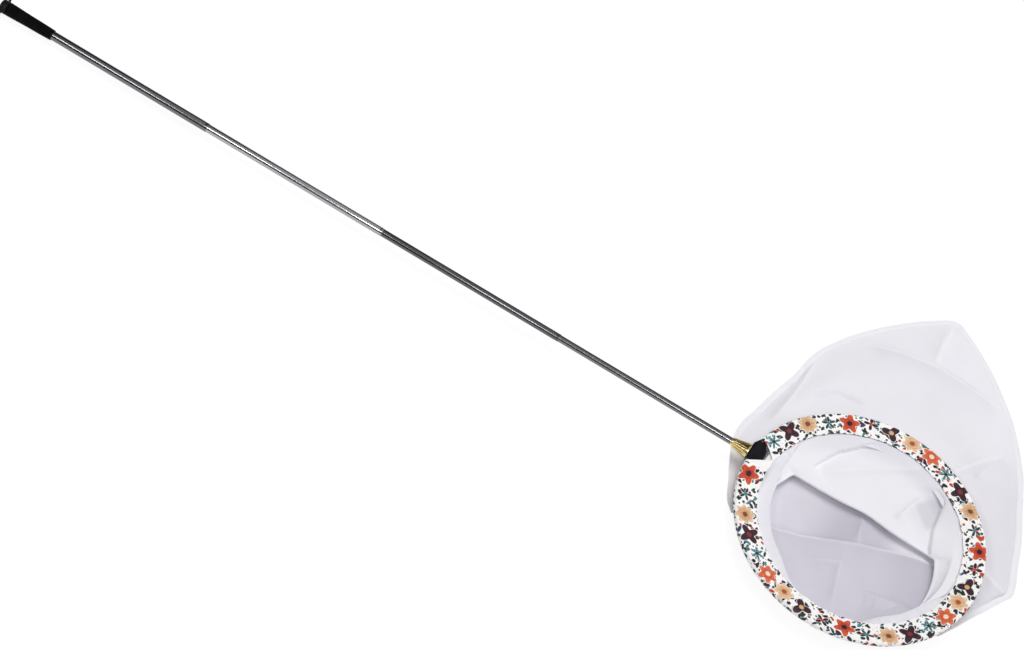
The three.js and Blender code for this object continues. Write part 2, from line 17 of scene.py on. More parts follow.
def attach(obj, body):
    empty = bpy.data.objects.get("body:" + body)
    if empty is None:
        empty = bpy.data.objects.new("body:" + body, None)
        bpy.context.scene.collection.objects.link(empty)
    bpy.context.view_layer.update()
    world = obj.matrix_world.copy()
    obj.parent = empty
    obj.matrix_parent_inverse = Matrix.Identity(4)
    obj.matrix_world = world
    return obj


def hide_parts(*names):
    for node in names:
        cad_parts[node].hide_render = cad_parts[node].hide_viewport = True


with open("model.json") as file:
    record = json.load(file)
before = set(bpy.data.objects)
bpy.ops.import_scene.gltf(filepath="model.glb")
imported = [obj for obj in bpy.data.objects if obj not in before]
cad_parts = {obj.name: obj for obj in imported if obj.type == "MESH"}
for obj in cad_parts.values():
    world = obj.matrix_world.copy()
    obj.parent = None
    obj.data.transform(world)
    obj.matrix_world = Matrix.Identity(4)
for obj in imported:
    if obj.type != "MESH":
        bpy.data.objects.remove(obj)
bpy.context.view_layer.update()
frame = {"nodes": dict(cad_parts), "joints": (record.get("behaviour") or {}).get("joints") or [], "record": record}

MM = 0.001
FULL_TURN = 2 * math.pi

# Fits
SEAT_GAP = 0.3
PLUG_FIT = 0.15
RUN_FIT = 0.12
SEWN_GAP = 0.7

# End cap, hang cord and grip. Places along the pole are measured from the butt face.
CAP_RADIUS = 9.7
CAP_LENGTH = 10
CAP_EDGE = 2.5
CAP_FRONT_EDGE = 0.4
CAP_SPIGOT = 15
SPIGOT_CHAMFER = 0.5
CORD_HOLE_PLACE = 5.5
CORD_HOLE_RADIUS = 2.5
CORD_DIAMETER = 4
GRIP_LENGTH = 74
GRIP_REAR_RADIUS = 9.5
GRIP_FRONT_RADIUS = 7.6
GRIP_BORE = 6.8
GRIP_EDGE = 1.5
GRIP_FRONT_EDGE = 1
GRIP_SWELL, GRIP_SWELL_LENGTH = 0.12, 9  # a slight unevenness along the foam

# Telescopic tubes
TUBE_RADII = [6.5, 6.0, 5.5, 5.0]
TUBE_WALL = 0.25
TUBE_TAILS = [10.3, 291, 572, 853]
TUBE_MOUTHS = [336, 617, 898, 1179.7]
TUBE_LIP = 3
MOUTH_ROUND = 0.45
GROOVE_BACK, GROOVE_WIDTH, GROOVE_DEPTH = 5, 1.4, 0.15  # rolled in behind the mouth

# Ferrule
FERRULE_REAR = 1167
FERRULE_FRONT = 1194
FERRULE_SOCKET = 13
FERRULE_REAR_RADIUS = 5.9
FERRULE_FLARE = 5.3
FERRULE_RIM = 3
FERRULE_REAR_EDGE, FERRULE_FRONT_EDGE = 0.5, 0.8
FERRULE_COLLAR, FERRULE_LIP = 1.4, 2.2  # plain at each end of the flutes
FLARE_START, FLARE_SLOPE, FLARE_CURVE = 0.12, 0.5, 0.33  # shares of the flare along the flutes
FLUTE_COUNT = 14
FLUTE_DEPTH = 0.7
STUD_RADIUS = 3

# Hoop base and its set screws
BASE_REAR = FERRULE_FRONT + SEAT_GAP
BASE_DEPTH = 22
BASE_HALF_WIDTH = 24
BASE_REAR_HALF_WIDTH = 13
BASE_ARM = 6
BASE_NOSE_HALF_WIDTH = 5
BASE_NOSE_BEND = (2.7, 17)
BASE_THICKNESS = 16
BASE_BEVEL = 2
STUD_IN_BASE = 12
SCREW_RADIUS = 1.6
SCREW_SOCKET_RADIUS = 0.9
SCREW_SOCKET_DEPTH = 1.6
WIRE_IN_BASE = 7

# Hoop, printed band and hem
HOOP_RADIUS = 173
HOOP_HEIGHT = 24
HOOP_OFFSET = 13  # the hoop's middle lies this far to the near side of the pole's axis
HOOP_TO_BASE = 6
WIRE_RADIUS = 2
BAND_REACH = 28
BAND_EDGE_HALF = 0.3
BAND_STATIONS = 640
SLEEVE_RADIUS = 4.7
BAND_FAR_LIFT = math.radians(8)
BAND_LIFT_POWER = 1.5
BAND_NEAR_DIP = math.radians(4)
RIBBON_THICKNESS = 0.5
COVER_REACH = 7  # how far the ribbon's near end reaches over the base
COVER_SLANT = 20  # how much further the near end reaches over the base at the band's inner edge
COVER_RISE = 22  # over which it climbs onto the base
COVER_GAP = 0.6  # between the base and the ribbon over it
FAR_END_LEAN = 20  # how much nearer to the pole the far end comes at the band's inner edge
PUCKER = (4, [19, 31, 47, 66, 83], 1.1)  # along the band's inner edge: seed, waves round the hoop, size
HEM_WIDTH = 13
HEM_SLOPE = math.radians(14)
HEM_SLACK = 6  # how much wider it lies on the pole's side
HEM_SLACKENS = (165, 20, 250, 20)  # where: the start and its rise, the end and its fall, in degrees
HEM_HANG = math.radians(52)  # how much steeper the tape hangs on the near side
HEM_HANGS = (234, 30, 310, 20)  # where, in the same way
HEM_TUCK, HEM_TUCK_AT_BASE = 3, 8.5  # how far it lies in under the band, and how much further at the base
HEM_DROP = 1.3  # of its outer edge, under the ribbon
BASE_REACH, BASE_REACH_FADE = 0.19, 0.05  # to each side of the base, in radians round the hoop

# Bag
CLOTH = 0.6
SEAM_WIDTH = 11.7
SEAM_THICKNESS = 1.6
SEAM_START = math.radians(-24)
SEAM_END = math.radians(205)
SIDE_BLEND = math.radians(13)
UNDER_BAND_HEIGHT = 10
FOLD_LINE = 28
FOLD_BOW = 6  # how much further out the fold lies opposite the hoop's middle
# How far inside the hem the flap reaches at the hoop's sides, by angle round the hoop
FOLD_SIDE_DEPTH = [
    (-37, 2), (-24, 2), (-12, 8.5), (-6, 11.5), (6, 17), (15, 20.5), (40, 14), (140, 10), (155, 14),
    (166, 17.3), (173.7, 11), (181, 2.5), (218, 2),
]
FOLD_HEIGHT = 10
FOLD_RADIUS = 2
HEM_SHOWN = 1.5  # what shows of the hem between the band and the slack laid over it
LAP_END, LAP_FADE, LAP_GAP = math.radians(165), 0.3, 0.5  # where that slack ends, and its gap to the hem
PUFF_HEIGHT = 12
NEAR_DROP = 42
BAG_DEPTH = 249
# The share of that depth that the bag reaches, by angle round the hoop from +X towards +Y
BAG_REACH = [
    (-24, 0.004), (-15, 0.024), (-5, 0.064), (3, 0.122), (9, 0.179), (12.5, 0.225), (16, 0.237), (24, 0.247),
    (33, 0.285), (45, 0.359), (57, 0.488), (67, 0.618), (78, 0.777), (88, 0.942), (92.5, 1), (97, 0.926),
    (105, 0.781), (115, 0.624), (125, 0.484), (134, 0.341), (143, 0.261), (153, 0.203), (165, 0.171),
    (173, 0.129), (181, 0.084), (189, 0.048), (198, 0.032), (205, 0.004),
]

# Hang cord: its loop through the end cap, on the floor behind the butt
CORD_ROUTE = [
    (5.5, 1, 9.7), (5.5, 6, 9.7), (5.1, 11, 9.5), (3.4, 16, 8.4), (0, 20.4, 6.5), (-4.8, 24, 4.5),
    (-10.6, 26.6, 3.1), (-17.5, 27.9, 2.3), (-25, 27.4, 2.2), (-32.6, 25, 2.2), (-39.4, 20.8, 2.2),
    (-45, 14.8, 2.2), (-48.6, 7.4, 2.2), (-49.9, -0.6, 2.2), (-48.9, -8.4, 2.2), (-45.4, -15.8, 2.2),
    (-40, -21.8, 2.2), (-33.2, -26, 2.2), (-25.4, -28.2, 2.2), (-17.6, -28.4, 2.3), (-10.6, -26.9, 3.1),
    (-4.8, -24.1, 4.5), (0, -20.4, 6.5), (3.4, -16, 8.4), (5.1, -11, 9.5), (5.5, -6, 9.7), (5.5, -1, 9.7),
]

# Places taken from the frame: the butt's middle, the pole's lean and the hoop's middle
swivel = next(joint for joint in frame["joints"] if joint["name"] == "pole_swivel")
butt_mount = next(mount for mount in frame["record"]["mounts"] if mount["name"] == "butt_face")
pole_axis = np.array(swivel["axis"])
swivel_place = np.dot(np.array(swivel["pos_m"]) - np.array(butt_mount["pos_m"]), pole_axis)
butt = (np.array(swivel["pos_m"]) - swivel_place * pole_axis) / MM
net_origin = np.array([butt[0], butt[1], 0])
tilt = math.asin(pole_axis[2])
ring_place = BASE_REAR + HOOP_TO_BASE + HOOP_RADIUS
ring_x = ring_place * math.cos(tilt)
wire_end = BASE_HALF_WIDTH - WIRE_IN_BASE
band_end = BASE_HALF_WIDTH + 3 * SEAT_GAP


# Places and small sums


def to_row(points):
    """Net millimetres to row metres."""
    return (np.asarray(points, float) + net_origin) * MM


def on_pole(place, across, up):
    """A point given along, beside and over the pole's axis, in net millimetres."""
    place, across, up = np.broadcast_arrays(place, across, up)
    return np.stack([
        place * math.cos(tilt) - up * math.sin(tilt),
        across,
        butt[2] + place * math.sin(tilt) + up * math.cos(tilt),
    ], -1)


def polar(radius, angle):
    """The two parts of a point that lies this far out at an angle."""
    return radius * np.cos(angle), radius * np.sin(angle)


def round_the_hoop(radius, height, angle):
    """A point round the hoop, over its plane, in net millimetres."""
    x, y = polar(radius, angle)
    return on_pole(ring_place + x, y - HOOP_OFFSET, height)


def on_floor(x, y, height):
    """A point given from the hoop's middle and over the floor, in net millimetres."""
    return np.stack(np.broadcast_arrays(ring_x + x, y - HOOP_OFFSET, height), -1)


def beside_base(across):
    """The angle round the hoop of the point beside the base that lies this far across the pole."""
    return math.pi - math.asin((across + HOOP_OFFSET) / HOOP_RADIUS)


def smooth(share):
    """An even S from 0 to 1."""
    share = np.clip(share, 0, 1)
    return share * share * (3 - 2 * share)


def span(value, start, rise, end, fall):
    """1 between a start and an end, with an even S up after the one and down to the other."""
    return smooth((value - start) / rise) * smooth((end - value) / fall)


def circle(count, start=0):
    """Even angles of one full turn, as a column."""
    return np.linspace(start, start + FULL_TURN, count, endpoint=False)[:, None]


def paired(first, second):
    """Two values at each point, side by side."""
    return np.stack(np.broadcast_arrays(first, second), -1)


def unit(vectors):
    """The same directions with a length of 1."""
    return vectors / np.linalg.norm(vectors, axis=-1, keepdims=True)


def walked(points):
    """The length of a line up to each of its points."""
    return np.concatenate([[0], np.cumsum(np.linalg.norm(np.diff(points, axis=0), axis=1))])


def linked(name, data):
    """A new object with this data, in the scene."""
    made = bpy.data.objects.new(name, data)
    bpy.context.scene.collection.objects.link(made)
    return made


# Camera: the photograph's own view, from a fit to the hoop's rim and the pole

PHOTO_WIDTH = 1024
VIEW_AZIMUTH = math.radians(-7.675)
VIEW_ELEVATION = math.radians(52.562)
VIEW_ROLL = math.radians(25.148)
VIEW_TARGET = (-538.25, -26.18, 0)  # from the pole's axis beside the hoop's middle
VIEW_DISTANCE = 3926.5
FOCAL_PIXELS = 2918.5
SENSOR_WIDTH = 36


def make_camera():
    data = bpy.data.cameras.new("photo_camera")
    data.sensor_fit = "HORIZONTAL"
    data.sensor_width = SENSOR_WIDTH
    data.lens = FOCAL_PIXELS * SENSOR_WIDTH / PHOTO_WIDTH
    data.clip_end = 50
    camera = linked("photo_camera", data)
    forward = Vector((
        math.sin(VIEW_AZIMUTH) * math.cos(VIEW_ELEVATION),
        math.cos(VIEW_AZIMUTH) * math.cos(VIEW_ELEVATION),
        -math.sin(VIEW_ELEVATION),
    ))
    level = Vector((math.cos(VIEW_AZIMUTH), -math.sin(VIEW_AZIMUTH), 0))
    raised = level.cross(forward)
    right = math.cos(VIEW_ROLL) * level + math.sin(VIEW_ROLL) * raised
    up = -math.sin(VIEW_ROLL) * level + math.cos(VIEW_ROLL) * raised
    target = Vector(to_row(np.array([ring_x, 0, HOOP_HEIGHT]) + VIEW_TARGET))
    turn = Matrix((right, up, -forward)).transposed().to_4x4()
    camera.matrix_world = Matrix.Translation(target - forward * VIEW_DISTANCE * MM) @ turn
    bpy.context.scene.camera = camera


make_camera()


# Nodes and colours


def linear(code):
    """An sRGB hex colour as linear RGBA."""
    parts = [int(code[i:i + 2], 16) / 255 for i in (1, 3, 5)]
    return [c / 12.92 if c <= 0.04045 else ((c + 0.055) / 1.055) ** 2.4 for c in parts] + [1]


def fill(tree, node, inputs):
    """A node's inputs, each set to a value or linked to a socket. A node stands for its first socket."""
    for key, value in inputs.items():
        if isinstance(value, bpy.types.Node):
            value = value.outputs[0]
        if isinstance(value, bpy.types.NodeSocket):
            tree.links.new(value, node.inputs[key])
        else:
            node.inputs[key].default_value = value


def add(tree, kind, inputs=None, stops=None, **settings):
    """A node with its settings, its inputs and its colour stops. More than three stops give steps."""
    made = tree.nodes.new(kind)
    for name, value in settings.items():
        setattr(made, name, value)
    fill(tree, made, inputs or {})
    if stops:
        ramp = made.color_ramp
        ramp.interpolation = "CONSTANT" if len(stops) > 3 else "LINEAR"
        while len(ramp.elements) < len(stops):
            ramp.elements.new(1)
        for element, (place, colour) in zip(ramp.elements, stops):
            element.position = place
            element.color = linear(colour) if isinstance(colour, str) else [*colour, 1]
    return made


def per_metre(size):
    """The texture scale on Object coordinates that gives a pattern of this size."""
    return 1 / (size * MM)


def made_of(inputs_of, *values, name=None):
    """A material whose shader takes the inputs that a function gives."""
    material = bpy.data.materials.new(name or inputs_of.__name__)
    material.use_nodes = True
    tree = material.node_tree
    fill(tree, tree.nodes["Principled BSDF"], inputs_of(tree, *values))
    return material


# Materials: each function gives the inputs of its shader


def moulded_abs(tree):
    """Injection-moulded ABS: a fine spark-eroded grain that softens the gloss, and a bluish black."""
    place = add(tree, "ShaderNodeTexCoord").outputs["Object"]
    grain = add(tree, "ShaderNodeTexNoise", {"Vector": place, "Scale": per_metre(0.6), "Detail": 3})
    wear = add(tree, "ShaderNodeTexNoise", {"Vector": place, "Scale": per_metre(9), "Detail": 4})
    return {
        "Base Color": add(tree, "ShaderNodeValToRGB", {0: wear}, [(0.3, "#0B0A0D"), (0.75, "#16141A")]),
        "Roughness": add(tree, "ShaderNodeMapRange", {"Value": wear, "To Min": 0.45, "To Max": 0.62}),
        "Normal": add(tree, "ShaderNodeBump", {"Height": grain, "Strength": 0.25, "Distance": 0.1 * MM}),
        "Specular IOR Level": 0.22,
    }


def eva_foam(tree):
    """Closed-cell EVA foam, ground smooth: matt, with burst cells as fine pits and a soft bloom on top."""
    place = add(tree, "ShaderNodeTexCoord").outputs["Object"]
    cells = add(tree, "ShaderNodeTexVoronoi", {"Vector": place, "Scale": per_metre(0.9)})
    bloom = add(tree, "ShaderNodeTexNoise", {"Vector": place, "Scale": per_metre(14), "Detail": 5})
    return {
        "Base Color": add(tree, "ShaderNodeValToRGB", {0: bloom}, [(0.3, "#050505"), (0.8, "#0F0F10")]),
        "Normal": add(tree, "ShaderNodeBump", {"Height": cells, "Strength": 0.25, "Distance": 0.15 * MM}),
        "Roughness": 0.8,
        "Specular IOR Level": 0.08,
    }


STRAND_PITCH = 1.6  # along the cord; about twice a real strand, so that the braid shows
STRAND_COUNT = 4  # of each set, round the cord


def braided_nylon(tree):
    """Round braided nylon cord: two sets of strands that cross on the slant, a painted sheen on each crest and
    painted shade between.
    """
    uv = add(tree, "ShaderNodeUVMap", uv_map="along_cord")
    along, around, _ = add(tree, "ShaderNodeSeparateXYZ", {0: uv}).outputs
    run = add(tree, "ShaderNodeMath", {0: along, 1: FULL_TURN / STRAND_PITCH}, operation="MULTIPLY")
    waves = []
    for turns in (STRAND_COUNT * FULL_TURN, -STRAND_COUNT * FULL_TURN):
        slant = add(tree, "ShaderNodeMath", {0: around, 1: turns, 2: run}, operation="MULTIPLY_ADD")
        waves.append(add(tree, "ShaderNodeMath", {0: slant}, operation="SINE"))
    crest = add(tree, "ShaderNodeMath", dict(enumerate(waves)), operation="MAXIMUM")
    return {
        "Base Color": add(tree, "ShaderNodeValToRGB", {0: crest}, [(0, "#060606"), (1, "#1E1E1F")]),
        "Normal": add(tree, "ShaderNodeBump", {"Height": crest, "Strength": 0.5, "Distance": 0.3 * MM}),
        "Roughness": 0.6,
    }


def drawn_stainless(tree, dark, pale):
    """Drawn and polished stainless tube: long fine die lines that draw each reflection out along it."""
    place = add(tree, "ShaderNodeTexCoord").outputs["Object"]
    stretched = add(tree, "ShaderNodeMapping", {"Vector": place, "Scale": (0.004, 1, 1)})
    lines = add(tree, "ShaderNodeTexNoise", {"Vector": stretched, "Scale": per_metre(0.5), "Detail": 3})
    smears = add(tree, "ShaderNodeTexNoise", {"Vector": place, "Scale": per_metre(35), "Detail": 4})
    return {
        "Base Color": add(tree, "ShaderNodeValToRGB", {0: lines}, [(0.3, dark), (0.7, pale)]),
        "Roughness": add(tree, "ShaderNodeMapRange", {"Value": smears, "To Min": 0.13, "To Max": 0.24}),
        "Normal": add(tree, "ShaderNodeBump", {"Height": lines, "Strength": 0.06, "Distance": 0.02 * MM}),
        "Metallic": 1,
    }


def fluted_brass(tree):
    """Pressed and polished brass: paler on the crests, darker, browner and rougher down in the flutes."""
    uv = add(tree, "ShaderNodeUVMap", uv_map="flutes")
    groove = add(tree, "ShaderNodeSeparateXYZ", {0: uv}).outputs["X"]
    place = add(tree, "ShaderNodeTexCoord").outputs["Object"]
    stain = add(tree, "ShaderNodeTexNoise", {"Vector": place, "Scale": per_metre(4), "Detail": 5})
    dulled = add(tree, "ShaderNodeMath", {0: stain, 1: 0.5, 2: groove}, operation="MULTIPLY_ADD")
    return {
        "Base Color": add(tree, "ShaderNodeValToRGB", {0: dulled}, [
            (0.2, "#EEDDA6"), (0.7, "#C4A455"), (1, "#4A3810"),
        ]),
        "Roughness": add(tree, "ShaderNodeMapRange", {"Value": dulled, "To Min": 0.2, "To Max": 0.5}),
        "Metallic": 1,
    }


def spring_steel(tree):
    """Hard-drawn spring steel: grey, with a slight oil film that shows as soft blotches."""
    place = add(tree, "ShaderNodeTexCoord").outputs["Object"]
    film = add(tree, "ShaderNodeTexNoise", {"Vector": place, "Scale": per_metre(3), "Detail": 4})
    return {
        "Base Color": add(tree, "ShaderNodeValToRGB", {0: film}, [(0.3, "#7E7E82"), (0.7, "#A2A2A6")]),
        "Roughness": add(tree, "ShaderNodeMapRange", {"Value": film, "To Min": 0.25, "To Max": 0.42}),
        "Metallic": 1,
    }


WAVE_SCALE = math.pi / 10  # a Wave texture of this scale has a pitch of 1


def turned_nylon(tree):
    """Turned nylon rod: creamy white, slightly waxy, with the tool's fine rings round it."""
    place = add(tree, "ShaderNodeTexCoord").outputs["Object"]
    pitch = per_metre(0.4) * WAVE_SCALE
    rings = add(tree, "ShaderNodeTexWave", {"Vector": place, "Scale": pitch}).outputs[1]
    cloud = add(tree, "ShaderNodeTexNoise", {"Vector": place, "Scale": per_metre(5)})
    return {
        "Base Color": add(tree, "ShaderNodeValToRGB", {0: cloud}, [(0.3, "#D2CDBE"), (0.7, "#E2DED2")]),
        "Normal": add(tree, "ShaderNodeBump", {"Height": rings, "Strength": 0.2, "Distance": 0.05 * MM}),
        "Roughness": 0.45,
    }


# The print repeats a few flower and leaf forms in cells along the ribbon. Sizes on it are in millimetres.
# Each row gives lobes, waist, radius, then the colours near the heart, at the rim and of the heart.
PRINT_FORMS = [
    (5, 0.42, 15, "#A82A1B", "#DB5A36", "#2A1420"),
    (5, 0.8, 10, "#1E2A27", "#2F3F38", "#3E7F86"),
    (8, 0.25, 14.5, "#B97F50", "#E6C6A2", "#7E4426"),
    (4, 0.52, 15, "#210E18", "#3F202D", "#7A2A30"),
    (6, 0.78, 10.5, "#245A62", "#4F9297", "#22302C"),
    (6, 0.35, 14.5, "#BE3A26", "#E27A50", "#F0D9B8"),
    (7, 0.3, 14.5, "#C89465", "#EBCDAA", "#A8522E"),
    (3, 0.6, 14, "#2A1420", "#3D2230", "#D9A878"),
    (4, 0.8, 10, "#2A1420", "#3A1B26", "#C8402A"),
]
FORM_UNIT = 16  # a colour stop holds lobes and radius in shares of this
PRINT_PITCH = 30
PRINT_SHIFT = (14, 16)  # where in its cell a motif lies
PRINT_START, PRINT_CELLS = 8, 32  # the ribbon's ends past these are turned in, and plain
PRINT_SCATTER = [(7.4, 7.4, 0), (13, 6.2, 40), (12, 5.8, -35)]  # length, width and slant of each kind
PRINT_SCATTER_TINTS = [
    (0, "#1E2A27"), (0.26, "#3E7F86"), (0.4, "#2A1420"), (0.62, "#C8402A"), (0.72, "#2C3C66"),
    (0.82, "#22302C"),
]
RIBBON_MIDDLE = 35.7  # half-way across the ribbon, where it goes round the wire
PRINT_ROW = (13.5, 20)  # from there to each row of motifs, at least and at most
VEIN_SIZE, GROUND_PATCH = 3, 6  # of the unevenness in the petals and in the white ground
WEFT_PITCH = 0.9  # real weft is about 0.2 mm; drawn coarser so that it shows


def printed_satin(tree):
    """Printed polyester satin: a white ground with a soft sheen, fine weft lines and flat dyed motifs."""
    uv = add(tree, "ShaderNodeUVMap", uv_map="along_ribbon")
    along, across, _ = add(tree, "ShaderNodeSeparateXYZ", {0: uv}).outputs

    # The cell along the ribbon, and chance numbers for it
    started = add(tree, "ShaderNodeMath", {0: along, 1: PRINT_START}, operation="SUBTRACT")
    cells = add(tree, "ShaderNodeMath", {0: started, 1: PRINT_PITCH}, operation="DIVIDE")
    cell = add(tree, "ShaderNodeMath", {0: cells}, operation="FLOOR")
    chance = add(tree, "ShaderNodeTexWhiteNoise", {"W": cell}, noise_dimensions="1D").outputs["Color"]
    chances = add(tree, "ShaderNodeSeparateColor", {0: chance}).outputs

    # Place inside the cell, shifted and turned by chance
    least, most = PRINT_SHIFT
    shift = add(tree, "ShaderNodeMapRange", {"Value": chances[0], "To Min": least, "To Max": most})
    start = add(tree, "ShaderNodeMath", {0: cell, 1: PRINT_PITCH, 2: shift}, operation="MULTIPLY_ADD")
    right = add(tree, "ShaderNodeMath", {0: started, 1: start}, operation="SUBTRACT")
    from_wire = add(tree, "ShaderNodeMath", {0: across, 1: RIBBON_MIDDLE}, operation="SUBTRACT")
    side = add(tree, "ShaderNodeMath", {0: from_wire}, operation="ABSOLUTE")
    least, most = PRINT_ROW
    row = add(tree, "ShaderNodeMapRange", {"Value": chances[1], "To Min": least, "To Max": most})
    up = add(tree, "ShaderNodeMath", {0: side, 1: row}, operation="SUBTRACT")
    bearing = add(tree, "ShaderNodeMath", {0: up, 1: right}, operation="ARCTAN2")
    turn = add(tree, "ShaderNodeMath", {0: chances[2], 1: FULL_TURN, 2: bearing}, operation="MULTIPLY_ADD")
    spot = add(tree, "ShaderNodeCombineXYZ", {0: right, 1: up})
    away = add(tree, "ShaderNodeVectorMath", {0: spot}, operation="LENGTH").outputs["Value"]

    # The form of this cell
    count = len(PRINT_FORMS)
    kind = add(tree, "ShaderNodeMath", {0: cell, 1: 1 / count}, operation="MULTIPLY")
    pick = add(tree, "ShaderNodeMath", {0: kind}, operation="FRACT")
    steps = [max(0, (i - 0.5) / count) for i in range(count)]
    shapes = [(lobes / FORM_UNIT, waist, radius / FORM_UNIT) for lobes, waist, radius, *_ in PRINT_FORMS]
    shape = add(tree, "ShaderNodeValToRGB", {0: pick}, list(zip(steps, shapes)))
    lobes, waist, size = add(tree, "ShaderNodeSeparateColor", {0: shape}).outputs
    inner, rim, heart = (
        add(tree, "ShaderNodeValToRGB", {0: pick}, list(zip(steps, colours)))
        for colours in list(zip(*PRINT_FORMS))[3:]
    )
    lobe_count = add(tree, "ShaderNodeMath", {0: lobes, 1: FORM_UNIT}, operation="MULTIPLY")
    whole = add(tree, "ShaderNodeMath", {0: lobe_count}, operation="ROUND")
    swing = add(tree, "ShaderNodeMath", {0: whole, 1: turn}, operation="MULTIPLY")
    wave = add(tree, "ShaderNodeMath", {0: swing}, operation="COSINE")
    notch = add(tree, "ShaderNodeMapRange", {
        "Value": wave, "From Min": -1, "From Max": 1, "To Min": waist, "To Max": 0,
    })
    full = add(tree, "ShaderNodeMath", {0: size, 1: FORM_UNIT}, operation="MULTIPLY")
    left = add(tree, "ShaderNodeMath", {0: 1, 1: notch}, operation="SUBTRACT")
    radius = add(tree, "ShaderNodeMath", {0: full, 1: left}, operation="MULTIPLY")
    inside = add(tree, "ShaderNodeMath", {0: radius, 1: away}, operation="SUBTRACT")
    edge = add(tree, "ShaderNodeMapRange", {
        "Value": inside, "From Min": -0.3, "From Max": 0.3,
    }, interpolation_type="SMOOTHSTEP")
    begun = add(tree, "ShaderNodeMath", {0: cells, 1: 0}, operation="GREATER_THAN")
    going_on = add(tree, "ShaderNodeMath", {0: cells, 1: PRINT_CELLS}, operation="LESS_THAN")
    printed = add(tree, "ShaderNodeMath", {0: begun, 1: going_on}, operation="MULTIPLY")
    motif = add(tree, "ShaderNodeMath", {0: edge, 1: printed}, operation="MULTIPLY")
    out = add(tree, "ShaderNodeMath", {0: away, 1: full}, operation="DIVIDE")
    veins = add(tree, "ShaderNodeTexNoise", {"Vector": uv, "Scale": 1 / VEIN_SIZE, "Detail": 3})
    shade = add(tree, "ShaderNodeMath", {0: veins, 1: 1.8, 2: -0.9}, operation="MULTIPLY_ADD")
    blend = add(tree, "ShaderNodeMath", {0: out, 1: shade}, operation="ADD", use_clamp=True)
    petal = add(tree, "ShaderNodeMix", {"Factor": blend, 6: inner, 7: rim}, data_type="RGBA").outputs[2]
    core = add(tree, "ShaderNodeMapRange", {
        "Value": out, "From Min": 0.3, "From Max": 0.2,
    }, interpolation_type="SMOOTHSTEP")
    flower = add(tree, "ShaderNodeMix", {"Factor": core, 6: petal, 7: heart}, data_type="RGBA").outputs[2]

    # Small buds and slanting leaves scattered between the motifs
    patches = add(tree, "ShaderNodeTexNoise", {"Vector": uv, "Scale": 1 / GROUND_PATCH, "Detail": 2})
    ground = add(tree, "ShaderNodeValToRGB", {0: patches}, [(0.3, "#F3F1F0"), (0.7, "#FBFAF8")])
    clear = add(tree, "ShaderNodeMapRange", {
        "Value": inside, "From Min": -0.6, "From Max": -1.4,
    }, interpolation_type="SMOOTHSTEP")
    free = add(tree, "ShaderNodeMath", {0: clear, 1: printed}, operation="MULTIPLY")
    for length, width, slant in PRINT_SCATTER:
        laid = add(tree, "ShaderNodeMapping", {
            "Vector": uv, "Rotation": (0, 0, math.radians(slant)), "Scale": (length, width, 1),
        }, vector_type="TEXTURE")
        sown = add(tree, "ShaderNodeTexVoronoi", {
            "Vector": laid, "Scale": 1, "Randomness": 1,
        }, voronoi_dimensions="2D").outputs
        luck = add(tree, "ShaderNodeSeparateColor", {0: sown["Color"]}).outputs
        reach = add(tree, "ShaderNodeMapRange", {"Value": luck[1], "To Min": -0.16, "To Max": 0.46})
        grown = add(tree, "ShaderNodeMath", {0: reach, 1: sown["Distance"]}, operation="SUBTRACT")
        leaf = add(tree, "ShaderNodeMapRange", {
            "Value": grown, "From Min": -0.04, "From Max": 0.04,
        }, interpolation_type="SMOOTHSTEP")
        shown = add(tree, "ShaderNodeMath", {0: leaf, 1: free}, operation="MULTIPLY")
        tint = add(tree, "ShaderNodeValToRGB", {0: luck[0]}, PRINT_SCATTER_TINTS)
        ground = add(tree, "ShaderNodeMix", {
            "Factor": shown, 6: ground, 7: tint,
        }, data_type="RGBA").outputs[2]

    dyed = add(tree, "ShaderNodeMix", {"Factor": motif, 6: ground, 7: flower}, data_type="RGBA").outputs[2]
    weft = add(tree, "ShaderNodeMath", {0: across, 1: FULL_TURN / WEFT_PITCH}, operation="MULTIPLY")
    ribs = add(tree, "ShaderNodeMath", {0: weft}, operation="SINE")
    return {
        "Base Color": dyed,
        "Normal": add(tree, "ShaderNodeBump", {"Height": ribs, "Strength": 0.15, "Distance": 0.08 * MM}),
        "Roughness": 0.55,
        "Sheen Weight": 0.08,
    }


MESH_PITCH = 2.2  # real holes are under 1 mm; drawn coarser so that they show close up


